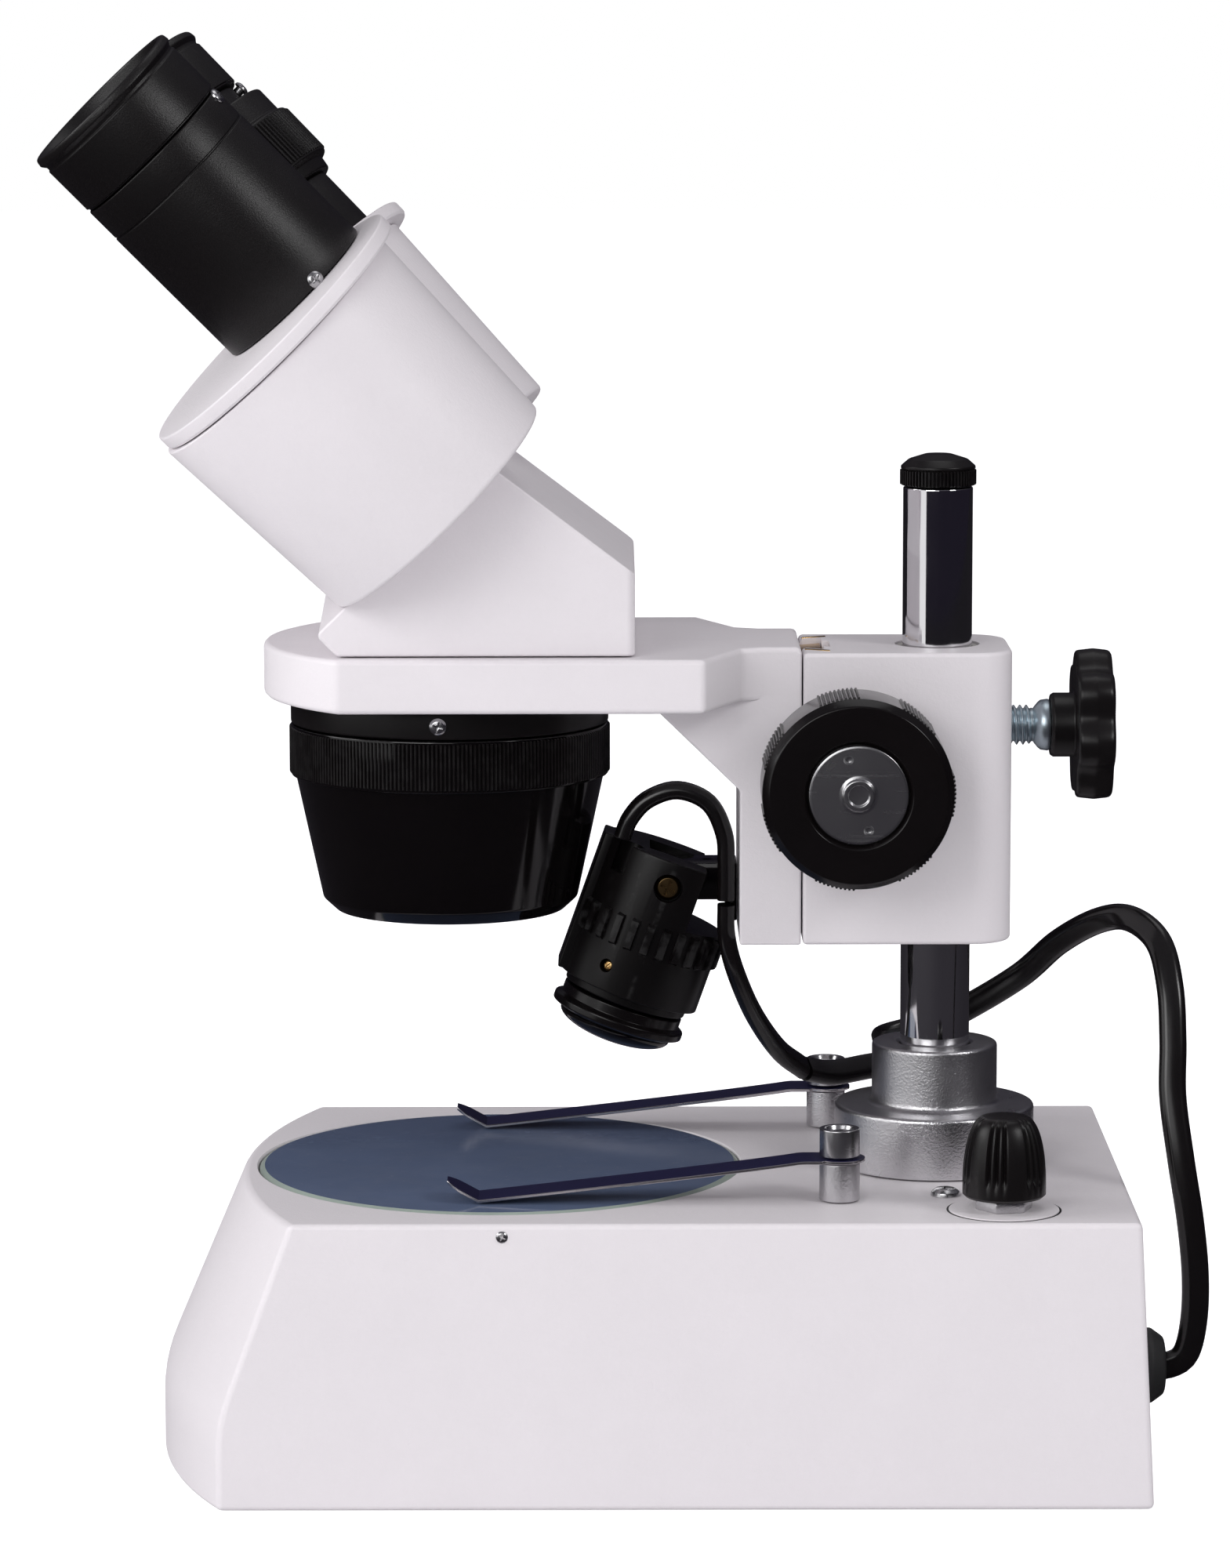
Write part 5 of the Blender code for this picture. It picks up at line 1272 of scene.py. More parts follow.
def make_objective():
    """Mount, ribbed ring, tapered cup and the four lenses."""
    here = at(OPTIC.x, OPTIC.y)
    z0, z1 = low("objective_mount").z, high("objective_mount").z
    r = radius_of("objective_mount")
    lathe("objective_mount_ring", [(22 * MM, z0), (r, z0), (r, z1), (22 * MM, z1)], "carrier",
          "moulded black", "objective_mount", here, True, 144)
    ring_r, ring_z = radius_of("objective_turret"), 133.0 * MM
    top, cup_top, cup_low = z0 - GAP, 30.2 * MM, 24.4 * MM
    foot, wall = low("objective_turret").z, 2.5 * MM
    root = ring_r - 0.3 * MM
    cup = solid("objective_cup", turned(eased(
        [(0, foot + 3 * MM), (cup_low - wall, foot + 3 * MM), (cup_top - wall, ring_z),
         (cup_top - wall, top), (root, top, 0.4 * MM), (root, ring_z, 0.4 * MM),
         (cup_top, ring_z, 0.1 * MM), (cup_low + 0.6 * MM, foot + 2.4 * MM, 1.2 * MM),
         (cup_low - 2.0 * MM, foot, 0.8 * MM), (0, foot)], 0.3 * MM), 176))
    for i in range(4):
        a = math.radians(90 * i)
        x, y = LENS_CIRCLE_R * math.sin(a), -LENS_CIRCLE_R * math.cos(a)
        combine(cup, rod(6.8 * MM, foot - 5 * MM, foot + 8 * MM, 48), place=at(x, y))
        lens = [(0, foot + 1.4 * MM), (4.2 * MM, foot + 1.1 * MM), (5.2 * MM, foot + 0.95 * MM),
                (5.3 * MM, foot + 8.6 * MM), (0, foot + 8.6 * MM)]
        name = "objective_lens_%d" % (i + 1)
        spot = at(OPTIC.x + x, OPTIC.y + y)
        lathe("objective_glass_%d" % (i + 1), lens, "turret",
              "objective glass", name, spot, segments=48, radius=0.2 * MM)
        cell = [(5.35 * MM, foot + 0.8 * MM), (6.5 * MM, foot + 0.35 * MM),
                (6.5 * MM, foot + 8 * MM), (5.35 * MM, foot + 8 * MM)]
        lathe("objective_cell_%d" % (i + 1), cell, "turret", "moulded black",
              (), spot, True, 48, 0.15 * MM)
    settle(cup, "turret", "gloss black", "objective_turret", here, 30)
    ribs("objective_ring_ribs", "turret", "moulded black", sizes().zoom_ribs,
         root, (top + ring_z) / 2, 0.3 * MM, 0.52 * MM, top - ring_z - 1.0 * MM, here)
    spots = []
    for turn in (-92.5, 27.5, 147.5):
        a = math.radians(turn)
        out = Vector((math.cos(a), math.sin(a), 0))
        spots.append((Vector((OPTIC.x, OPTIC.y, MOUNT_SCREW_Z)) + out * (r - 0.25 * MM), out,
                      3.5 * MM, 30))
    fasteners("mount_screws", "carrier", "bright steel", cross_head, spots)


def barrel(side):
    """The frame of one barrel, its Z along the barrel, and the way towards the middle."""
    s = -1 if side == "near" else 1
    along = Vector((BARREL_ALONG.x, s * BARREL_ALONG.y, BARREL_ALONG.z))
    low_mid = Vector((BARREL_LOW.x, s * BARREL_LOW.y, BARREL_LOW.z))
    tilt = math.asin(BARREL_ALONG.z / math.sqrt(1 - BARREL_ALONG.y ** 2))
    up = Vector((math.sin(tilt), 0, math.cos(tilt)))
    frame_of = aimed(low_mid, along, up)
    across = frame_of.to_3x3() @ Vector((0, 1, 0))
    inward = 1.0 if across.y * s < 0 else -1.0
    return frame_of, inward


def make_head_body():
    """The wedge under the two prism housings."""
    x0, x1 = low("head_body").x, high("head_body").x
    z0 = low("head_body").z
    rear_z, apex = 175.4 * MM, -40 * MM
    peak = rear_z + math.tan(HEAD_SLOPE) * (x1 - apex)
    side = [(x0 + 3.5 * MM, z0), (x1, z0), (x1, rear_z), (apex, peak), (x0, peak),
            (x0, z0 + 3.5 * MM)]
    rings = [[(x, y, z) for x, z in side] for y in (-HEAD_HALF, HEAD_HALF)]
    body = solid("head_casting", skinned(rings))
    for name in ("near", "far"):
        place, _ = barrel(name)
        combine(body, block(-90 * MM, 90 * MM, -90 * MM, 90 * MM, -GAP, 90 * MM), place=place)
    past = HEAD_HALF + 1 * MM
    for s in (-1, 1):
        corner = [(x1 - 2.0 * MM, s * past), (x1 + 1 * MM, s * past),
                  (x1 + 1 * MM, s * (HEAD_HALF - 2.2 * MM))]
        combine(body, raised(corner, z0 - 1 * MM, peak))
    soften(body, sizes().casting_edge, 3, 25)
    combine(body, rod(19 * MM, z0 - 5 * MM, z0 + 6 * MM, 48), place=at(OPTIC.x, OPTIC.y))
    settle(body, "carrier", "powder white", "head_body", sharp=35, even=True)


def make_barrels():
    """Prism housings, lids, tubes, dioptre ring and eyepieces."""
    length, r_low, r_top = 43.9 * MM, 26.6 * MM, 28.4 * MM
    for side in ("near", "far"):
        place, inward = barrel(side)
        body = "barrel_" + side
        wall = 2.4 * MM
        lathe("prism_housing_shell_" + side,
              [(5.5 * MM, 0), (r_low, 0, 1.0 * MM), (r_top, length, 0.35 * MM),
               (r_top - wall, length), (r_low - wall, 3 * MM), (5.5 * MM, 3 * MM)],
              body, "powder white", "prism_housing_" + side, place, True, 160)
        z0 = length + GAP
        lid_r, lid_t = 29.6 * MM, 2.9 * MM
        tube_x, tube_y = 9.2 * MM, inward * 6.4 * MM
        lid = solid("housing_lid_disc_" + side, turned(eased(
            [(0, z0), (lid_r - 0.35 * MM, z0, 0.3 * MM), (lid_r, z0 + 0.5 * MM, 0.3 * MM),
             (lid_r, z0 + lid_t, 0.45 * MM), (0, z0 + lid_t)], 0.5 * MM), 160))
        combine(lid, rod(13.9 * MM, z0 - 5 * MM, z0 + 9 * MM, 64),
                place=at(tube_x - 1.9 * MM, tube_y))
        settle(lid, body, "powder white", "housing_lid_" + side,
               place @ at(1.9 * MM), 35)

        axis = place @ at(tube_x, tube_y)
        z1 = z0 + lid_t + GAP
        z2 = z1 + 38 * MM
        r, bore = 16.6 * MM, 13.35 * MM
        if side == "near":
            outer = [(r, z1, 0.3 * MM), (r, z1 + 30.9 * MM, 0.25 * MM),
                     (r - 0.3 * MM, z1 + 31.0 * MM, 0.05 * MM), (r - 0.3 * MM, z1 + 31.25 * MM),
                     (r - 0.1 * MM, z1 + 31.35 * MM, 0.1 * MM), (r - 0.1 * MM, z2, 0.3 * MM)]
        else:
            outer = [(r, z1, 0.3 * MM), (r, z1 + 13.0 * MM, 0.3 * MM),
                     (r - 1.6 * MM, z1 + 13.0 * MM, 0.1 * MM), (r - 1.6 * MM, z2, 0.3 * MM)]
        lathe("eyepiece_tube_turned_" + side, [(bore, z1)] + outer + [(bore, z2)], body,
              "tube black", "eyepiece_tube_" + side, axis, True, 144)

        seat, sleeve = z2 + GAP, bore - RUN
        lip = seat + 13.6 * MM
        cup_r, lip_r = 16.5 * MM, 16.95 * MM
        profile = [(sleeve - 1.2 * MM, seat - 16 * MM), (sleeve, seat - 16 * MM), (sleeve, seat),
                   (cup_r - 0.35 * MM, seat, 0.15 * MM), (cup_r - 0.35 * MM, seat + 0.35 * MM),
                   (cup_r, seat + 0.45 * MM, 0.1 * MM), (cup_r, lip - 3.3 * MM, 0.3 * MM),
                   (cup_r - 0.3 * MM, lip - 3.0 * MM, 0.2 * MM),
                   (cup_r - 0.25 * MM, lip - 2.4 * MM, 0.3 * MM),
                   (lip_r, lip - 1.5 * MM, 0.5 * MM), (lip_r - 0.25 * MM, lip, 0.7 * MM),
                   (lip_r - 1.7 * MM, lip - 0.1 * MM, 0.6 * MM),
                   (lip_r - 4.9 * MM, lip - 7.0 * MM, 1.0 * MM),
                   (sleeve - 1.2 * MM, lip - 7.6 * MM, 0.3 * MM)]
        lathe("eyepiece_cup_" + side, profile, "eyepiece_" + side, "tube black",
              "eyepiece_" + side, axis, True, 144, 0.2 * MM)
        lens_r, base = sleeve - 1.5 * MM, lip - 12.5 * MM
        dome = [(0, base), (lens_r, base), (lens_r, base + 3 * MM)]
        for i in range(1, 10):
            a = math.pi / 2 * i / 10
            dome.append((lens_r * math.cos(a), base + 3 * MM + 1.8 * MM * math.sin(a)))
        dome.append((0, base + 4.8 * MM))
        lathe("eye_lens_glass_" + side, dome, "eyepiece_" + side,
              "eyepiece glass", "eye_lens_" + side, axis, segments=64, radius=0.0)
        place_screws(side, place, axis, z1, z2, inward)
        if side == "far":
            make_dioptre(axis, z1)


def place_screws(side, place, axis, z1, z2, inward):
    """Screws on one barrel: two on the tube and one in the lid."""
    body = "barrel_" + side
    turn = axis.to_3x3()
    spots = []
    for height, angle, reach in ((z2 - 1.2 * MM, 77, 16.3 * MM), (z1 + 0.9 * MM, 20, 16.4 * MM)):
        a = math.radians(angle)
        out = turn @ Vector((math.sin(a), -inward * math.cos(a), 0))
        centre = axis @ Vector((0, 0, height))
        spots.append((centre + out * reach, out, 3.3 * MM, 10))
    fasteners("tube_screws_" + side, body, "bright steel", cross_head, spots)
    lid_face = place @ Vector((-20.5 * MM, inward * -3.0 * MM, 47.05 * MM))
    fasteners("lid_screw_" + side, body, "moulded black", socket_head,
              [(lid_face, turn @ Vector((0, 0, 1)), 4.2 * MM, 0)])


def make_dioptre(axis, z1):
    """The knurled focusing ring of the far eyepiece."""
    d0 = z1 + 13.0 * MM + GAP
    inner = 15.1 * MM
    band, root = 20.2 * MM, 19.85 * MM
    profile = [(inner, d0), (18.0 * MM, d0, 0.4 * MM), (18.4 * MM, d0 + 2.4 * MM, 0.3 * MM),
               (root, d0 + 3.0 * MM, 0.4 * MM), (root, d0 + 14.4 * MM, 0.4 * MM),
               (18.8 * MM, d0 + 15.0 * MM, 0.3 * MM), (18.8 * MM, d0 + 20.6 * MM, 0.5 * MM),
               (inner, d0 + 21.0 * MM)]
    lathe("dioptre_ring_turned", profile, "dioptre", "tube black",
          "dioptre_ring", axis, True, 144, 0.3 * MM)
    ribs("dioptre_ring_ribs", "dioptre", "tube black", sizes().dioptre_ribs,
         root, d0 + 8.7 * MM, band - root, 0.7 * MM, 10.6 * MM, axis)


# ---------------------------------------------------------------------------
# lamp
# ---------------------------------------------------------------------------
def lamp_frame():
    along = Vector((math.sin(LAMP_LEAN), 0, math.cos(LAMP_LEAN)))
    return aimed(LAMP_PIVOT - along * LAMP_PIVOT_S, along, (1, 0, 0))


def make_lamp():
    """Lamp body with its rail, slot, cooling ribs, bezel and screws."""
    place = lamp_frame()
    r, s0, s1, inner = 14.2 * MM, 3.3 * MM, 33.9 * MM, 11.0 * MM
    slot_z = 21.6 * MM
    shell = solid("lamp_body", turned(eased(
        [(inner, s0 + GAP), (r - 1.9 * MM, s0 + GAP), (r - 1.9 * MM, s0 + 2.1 * MM, 0.15 * MM),
         (r, s0 + 2.1 * MM, 0.25 * MM), (r, s1, 0.45 * MM), (0, s1), (0, s0 + 14 * MM),
         (inner, s0 + 14 * MM)], 0.3 * MM), 128, False))
    rail = block(-r - 0.55 * MM, -8 * MM, -5.6 * MM, 5.6 * MM, s0 + 2.4 * MM, s1 - 0.02 * MM)
    combine(shell, rail, "UNION", soft=0.35 * MM)
    for y0, y1 in ((-6.15 * MM, -5.75 * MM), (5.75 * MM, 6.15 * MM)):
        combine(shell, block(-r - 2 * MM, -r + 0.9 * MM, y0, y1, s0, s1 + 1 * MM))
    gap = 5.7 * MM
    combine(shell, block(-5.5 * MM, 30 * MM, -gap, gap, slot_z, s1 + 8 * MM))
    combine(shell, block(6.2 * MM, 30 * MM, -30 * MM, 30 * MM, slot_z, s1 + 8 * MM))
    for s in (-1, 1):
        pin = aimed((0, s * 20 * MM, LAMP_PIVOT_S), (0, -s, 0))
        combine(shell, rod(2.8 * MM, 0, 8.2 * MM, 40), place=pin)
        combine(shell, rod(1.9 * MM, 0, 20 * MM, 24), place=pin)
    combine(shell, rod(1.35 * MM, -3 * MM, 3 * MM, 28),
            place=aimed((-6.2 * MM, -12.6 * MM, 10.2 * MM), (-0.45, -0.9, 0)))
    combine(shell, rod(2.45 * MM, s1 - 6 * MM, s1 + 3 * MM, 28), place=at(-9.2 * MM, -8.5 * MM))
    settle(shell, "lamp", "lamp black", "lamp_housing", place, 30)
    ribs("lamp_cooling_ribs", "lamp", "lamp black", sizes().lamp_ribs, r,
         17.8 * MM, 0.85 * MM, 1.55 * MM, 6.5 * MM, place, 1, 0.87,
         math.radians(-180 + 24), 0.92)

    bezel = [(8.5 * MM, -1.6 * MM), (11.5 * MM, -1.8 * MM), (13.3 * MM, -1.0 * MM, 0.4 * MM),
             (13.3 * MM, 0.4 * MM, 0.5 * MM), (12.1 * MM, 1.0 * MM, 0.3 * MM),
             (12.1 * MM, s0 - GAP), (8.5 * MM, s0 - GAP)]
    lathe("lamp_bezel_ring", bezel, "lamp", "wheel black", "lamp_bezel", place,
          True, 112, 0.25 * MM)
    dome = [(0, s0 - 1 * MM), (8.2 * MM, s0 - 1 * MM), (8.2 * MM, -1.9 * MM),
            (11.3 * MM, -2.0 * MM)]
    for i in range(1, 14):
        a = math.pi / 2 * i / 14
        dome.append((11.3 * MM * math.cos(a), -2.1 * MM - 3.4 * MM * math.sin(a)))
    dome.append((0, -5.5 * MM))
    lathe("lamp_front_lens", dome, "lamp", "gloss black", "lamp_lens", place,
          segments=96, radius=0.0)

    tail, face = -high("lamp_pivot_screw").y, -low("lamp_pivot_screw").y
    pin = solid("lamp_pivot_pin", turned(eased(
        [(0, tail), (1.6 * MM, tail), (1.6 * MM, face - 1.1 * MM), (2.5 * MM, face - 1.1 * MM),
         (2.5 * MM, face - 0.6 * MM), (1.9 * MM, face), (0, face)], 0.2 * MM), 36))
    for spin in (20, 110):
        combine(pin, block(-1.5 * MM, 1.5 * MM, -0.3 * MM, 0.3 * MM, face - 0.8 * MM,
                           face + 1 * MM), place=Matrix.Rotation(math.radians(spin), 4, "Z"))
    # The pivot pin takes the brass darkened to about a third.
    settle(pin, "lamp", "old brass", "lamp_pivot_screw",
           aimed(LAMP_PIVOT, (0, -1, 0)))

    out = place.to_3x3() @ Vector((-0.45, -0.9, 0)).normalized()
    spot = place @ Vector((-5.6 * MM, -11.6 * MM, 10.2 * MM))
    fasteners("lamp_screws", "lamp", "brass", cross_head,
              [(spot, out, 2.3 * MM, 0)])


def make_lamp_bracket():
    """The tongue that the lamp tilts on."""
    front = high("lamp_bracket").x
    plate = front - 2.2 * MM
    r, half = 3.6 * MM, high("lamp_bracket").y
    foot, top = low("lamp_bracket").z, high("lamp_bracket").z
    side = [(plate, foot), (front, foot), (front, top), (plate - 1.0 * MM, top),
            (LAMP_PIVOT.x, LAMP_PIVOT.z + r)]
    for i in range(1, 17):
        a = math.radians(90 + 11.25 * i)
        side.append((LAMP_PIVOT.x + r * math.cos(a), LAMP_PIVOT.z + r * math.sin(a)))
    side.append((plate, LAMP_PIVOT.z - r))
    rings = [[(x, y, z) for x, z in side] for y in (-half, half)]
    tongue = soften(solid("lamp_bracket_tongue", skinned(rings)), 0.3 * MM, 2, 40)
    combine(tongue, rod(1.7 * MM, -20 * MM, 20 * MM, 28), place=aimed(LAMP_PIVOT, (0, 1, 0)))
    combine(tongue, rod(0.9 * MM, -3 * MM, 3 * MM, 20),
            place=at(plate - 3.6 * MM, 0, top))
    settle(tongue, "carrier", "gloss black", "lamp_bracket", sharp=30)


# ---------------------------------------------------------------------------
# lead
# ---------------------------------------------------------------------------
LEAD = {
    "lamp_lead_1": ((2.7, -8.5, 121.3), (4.2, -8.5, 125.0), (7.7, -8.5, 128.7),
                    (13.5, -8.5, 130.5), (19.5, -8.6, 128.0), (22.5, -8.9, 122.0),
                    (22.9, -9.0, 116.0), (22.9, -9.0, 109.0)),
    "lamp_lead_2": ((22.9, -9.0, 108.0), (23.0, -8.8, 102.0), (24.6, -7.4, 95.0),
                    (28.4, -3.0, 85.4), (33.5, 3.0, 77.0), (38.4, 8.5, 72.2)),
    "lamp_lead_3": ((39.0, 9.2, 71.8), (44.8, 14.8, 69.9), (53.3, 21.5, 70.0),
                    (61.5, 23.8, 70.3), (70.0, 24.1, 70.6)),
    "lamp_lead_4": ((72.0, 24.7, 70.7), (75.5, 29.2, 70.3), (76.5, 36.0, 69.6),
                    (72.9, 42.2, 69.3), (66.0, 44.8, 69.6), (59.2, 42.3, 70.6),
                    (55.5, 36.2, 72.3), (56.5, 29.6, 74.5), (61.6, 24.9, 76.9),
                    (69.8, 23.6, 80.2), (82.4, 21.5, 88.2), (90.0, 15.0, 96.4),
                    (97.1, 5.0, 102.4), (102.4, -4.0, 104.2), (107.1, -12.0, 101.0),
                    (108.9, -18.0, 93.2), (109.2, -22.0, 83.2), (109.0, -25.0, 72.9),
                    (110.4, -28.0, 61.2), (112.2, -30.0, 49.3), (113.2, -30.6, 39.0),
                    (113.1, -30.2, 30.0), (111.6, -30.0, 23.2), (108.2, -30.0, 20.9),
                    (104.0, -30.0, 20.9)),
}
LEAD_FLAT_X = 82.0 * MM
STRETCHES = (("lamp_lead_1", "lead_lamp_loop", "lamp", "carrier"),
             ("lamp_lead_2", "lead_column_drop", "carrier", "arm"),
             ("lamp_lead_3", "lead_collar_run", "arm", "sleeve"),
             ("lamp_lead_4", "lead_rear_loop", "sleeve", "stand"))


def smooth_path(points, step=1.1 * MM):
    """Even points along a smooth curve through the given ones."""
    pts = [Vector(p) * MM for p in points]
    ends = [2 * pts[0] - pts[1]] + pts + [2 * pts[-1] - pts[-2]]
    dense = []
    for p0, p1, p2, p3 in zip(ends, ends[1:], ends[2:], ends[3:]):
        for i in range(24):
            t = i / 24
            dense.append(0.5 * (2 * p1 + (p2 - p0) * t
                                + (2 * p0 - 5 * p1 + 4 * p2 - p3) * t * t
                                + (3 * p1 - p0 - 3 * p2 + p3) * t ** 3))
    dense.append(pts[-1])
    length = sum((b - a).length for a, b in zip(dense, dense[1:]))
    count = max(3, round(length / step))
    even, run, k = [dense[0]], 0.0, 1
    for a, b in zip(dense, dense[1:]):
        seg = (b - a).length
        while k < count and run + seg >= length * k / count:
            even.append(a.lerp(b, (length * k / count - run) / seg))
            k += 1
        run += seg
    even.append(dense[-1])
    return even


def lead_section():
    """Half outline of a flat twin lead, (across, through) about its middle."""
    half, thick = sizes().lead_width / 2, sizes().lead_thickness / 2
    core = half - thick
    points = []
    for i in range(28):
        a = 2 * math.pi * (i + 0.5) / 28
        x = thick * math.cos(a) + math.copysign(core, math.cos(a))
        y = thick * math.sin(a)
        dip = max(0.0, 1.0 - abs(x) / (0.5 * thick))
        points.append((x, y * (1.0 - 0.30 * dip)))
    return points


def lead_rings(chain, first):
    """Sections along the whole lead, which turns over slowly on its way.

    Its broad side lies across the stand at the lamp and faces the front in the rear loop.
    first is where the last stretch starts, and the turn is made round it.
    """
    tangents = []
    for i, p in enumerate(chain):
        a, b = chain[max(i - 1, 0)], chain[min(i + 1, len(chain) - 1)]
        tangents.append((b - a).normalized())
    wide = Vector((0, 1, 0))
    wides, angles = [], []
    for t in tangents:
        wide = (wide - t * wide.dot(t)).normalized()
        wides.append(wide.copy())
        flat = t.cross(Vector((0, 1, 0)))
        if flat.length > 0.35:
            flat.normalize()
            angles.append(math.atan2(t.dot(wide.cross(flat)), wide.dot(flat)))
        else:
            angles.append(None)
    settled = next(i for i, p in enumerate(chain) if i > first and p.x > LEAD_FLAT_X)
    held = angles[settled]
    for i in range(settled, len(chain)):
        if angles[i] is None:
            angles[i] = angles[i - 1]
        while angles[i] - held > math.pi / 2:
            angles[i] -= math.pi
        while angles[i] - held < -math.pi / 2:
            angles[i] += math.pi
        held = angles[i]
    reach = angles[settled]
    while reach > math.pi / 2:
        reach -= math.pi
    while reach < -math.pi / 2:
        reach += math.pi
    shift = reach - angles[settled]
    section = lead_section()
    rings = []
    for i, (p, t) in enumerate(zip(chain, tangents)):
        if i >= settled:
            a = angles[i] + shift
        else:
            k = min(1.0, max(0.0, (i - first * 0.7) / (settled - first * 0.7)))
            a = reach * k * k * (3 - 2 * k)
        w = wides[i] * math.cos(a) + t.cross(wides[i]) * math.sin(a)
        n = t.cross(w)
        rings.append([tuple(p + w * x + n * y) for x, y in section])
    return rings


def make_lead():
    """The lamp's flat lead in four stretches, one across each joint it spans."""
    paths = {name: smooth_path(points) for name, points in LEAD.items()}
    chain = [p for name, *_ in STRETCHES for p in paths[name]]
    rings = lead_rings(chain, len(chain) - len(paths["lamp_lead_4"]))
    start = 0
    for node, name, a, b in STRETCHES:
        path = paths[node]
        tube = solid(name, skinned(rings[start:start + len(path)]))
        start += len(path)
        tube.data.materials.append(FINISHES["lead black"])
        tube.data.shade_smooth()
        tube.data.set_sharp_from_angle(angle=math.radians(50))
        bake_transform(tube, a, b, tuple(path[0]), tuple(path[-1]))
        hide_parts(node)


def refinish_nodes():
    """Finishes for the frame parts that keep their own shape."""
    kept = {"base_cover": "cover plate", "foot_1": "rubber", "foot_2": "rubber",
            "foot_3": "rubber", "foot_4": "rubber", "stage_bulb": "eyepiece glass",
            "pillar_bolt": "zinc plate", "dimmer_body": "bright steel",
            "liner_sleeve": "nylon", "pinion_shaft": "bright steel",
            "dovetail_slide": "brass"}
    for node, finish in kept.items():
        obj = frame["nodes"][node]
        obj.data.materials.clear()
        obj.data.materials.append(FINISHES[finish])


# ---------------------------------------------------------------------------
# stage
# ---------------------------------------------------------------------------
CAMERA_X = 0.94 * MM
CAMERA_YAW = math.radians(-0.03)
CAMERA_ROLL = math.radians(0.09)
FLOOR_REACH = 6.0
FLOOR_DROP = 0.2 * MM
FLOOR_GLOW = 0.78
FLOOR_MIRRORED = (0.030, 0.027, 0.034)
ROOM_LIGHT = (0.40, 0.39, 0.41)
ROOM_LOW = (0.014, 0.012, 0.020)
ROOM_HIGH = (0.16, 0.155, 0.175)
LIT_POINT = Vector((0.0, 0.0, 0.12))
LIGHTS = (("Key", (-0.60, -1.15, 0.72), 0.70, 0.70, "key"),
          ("Side", (-1.15, -0.10, 0.75), 0.70, 0.50, "side"),
          ("Panel", (-1.05, -0.45, 0.36), 1.20, 0.70, "panel"),
          ("Front", (-0.15, -1.45, 0.62), 0.45, 0.45, "front"),
          ("Fill", (0.85, -0.65, 0.80), 0.35, 0.35, "fill"),
          ("Top", (0.15, 0.20, 1.25), 0.60, 0.60, "top"))


def make_camera():
    s = settings()
    cam = bpy.data.cameras.new("Camera")
    cam.sensor_fit = "HORIZONTAL"
    cam.sensor_width = 36.0
    cam.lens = s.lens
    cam.clip_end = 30.0
    eye = bpy.data.objects.new("Camera", cam)
    eye.location = (CAMERA_X, -s.distance, s.height)
    eye.rotation_euler = (math.radians(90) - s.pitch, CAMERA_ROLL, CAMERA_YAW)
    bpy.context.scene.collection.objects.link(eye)
    bpy.context.scene.camera = eye


def make_floor():
    """A round pale floor that looks white itself and is dark in what mirrors it."""
    rim = [(FLOOR_REACH * math.cos(math.tau * i / 64), FLOOR_REACH * math.sin(math.tau * i / 64),
            -FLOOR_DROP) for i in range(64)]
    floor = solid("pale_floor", (rim, [list(range(64))]))
    mat = bpy.data.materials.new("pale floor")
    mat.use_nodes = True
    tree = mat.node_tree
    shader = tree.nodes["Principled BSDF"]
    shader.inputs["Roughness"].default_value = 0.9
    shader.inputs["Specular IOR Level"].default_value = 0.1
    shader.inputs["Emission Color"].default_value = (1, 1, 1, 1)
    rays = tree.nodes.new("ShaderNodeLightPath").outputs
    link(tree, remap(tree, rays["Is Camera Ray"], 0.0, 1.0, 0.0, FLOOR_GLOW),
         shader.inputs["Emission Strength"])
    link(tree, mixed(tree, rays["Is Glossy Ray"], tuple(settings().floor), FLOOR_MIRRORED),
         shader.inputs["Base Color"])
    floor.data.materials.append(mat)
    if floor.data.polygons[0].normal.z < 0:
        floor.data.flip_normals()


def make_lights():
    for name, place, width, tall, power in LIGHTS:
        data = bpy.data.lights.new(name, "AREA")
        data.shape = "RECTANGLE"
        data.size = width
        data.size_y = tall
        data.energy = getattr(settings(), power)
        lamp = bpy.data.objects.new(name, data)
        lamp.location = place
        lamp.rotation_euler = (LIT_POINT - Vector(place)).to_track_quat("-Z", "Y").to_euler()
        lamp.visible_camera = False
        bpy.context.scene.collection.objects.link(lamp)


def make_world():
    """White behind the object, a soft grey room on it and a dark one in what mirrors it."""
    world = bpy.data.worlds.new("Studio")
    world.use_nodes = True
    tree = world.node_tree
    tree.nodes.clear()
    out = tree.nodes.new("ShaderNodeOutputWorld")
    coords = tree.nodes.new("ShaderNodeTexCoord")
    parts = tree.nodes.new("ShaderNodeSeparateXYZ")
    link(tree, coords.outputs["Generated"], parts.inputs[0])
    climb = remap(tree, parts.outputs["Z"], 0.15, 0.85)
    path = tree.nodes.new("ShaderNodeLightPath")
    mirrored = mixed(tree, climb, ROOM_LOW, ROOM_HIGH)
    sky = mixed(tree, path.outputs["Is Glossy Ray"], ROOM_LIGHT, mirrored)
    soft = tree.nodes.new("ShaderNodeBackground")
    link(tree, sky, soft.inputs["Color"])
    white = tree.nodes.new("ShaderNodeBackground")
    white.inputs["Color"].default_value = (1, 1, 1, 1)
    blend = tree.nodes.new("ShaderNodeMixShader")
    link(tree, path.outputs["Is Camera Ray"], blend.inputs[0])
    link(tree, soft.outputs[0], blend.inputs[1])
    link(tree, white.outputs[0], blend.inputs[2])
    link(tree, blend.outputs[0], out.inputs["Surface"])
    bpy.context.scene.world = world


def make_stage():
    """Camera, pale floor and soft light."""
    make_camera()
    make_floor()
    make_lights()
    make_world()
    bpy.context.scene.view_settings.view_transform = "Standard"


# ---------------------------------------------------------------------------
# operators, panel and registration
# ---------------------------------------------------------------------------
class MICROSCOPE_OT_finishes(Operator):
    """Make every finish and refinish the frame parts that stay"""

    bl_idname = "microscope.finishes"
    bl_label = "Finishes"

    def execute(self, context):
        make_finishes()
        refinish_nodes()
        return {"FINISHED"}


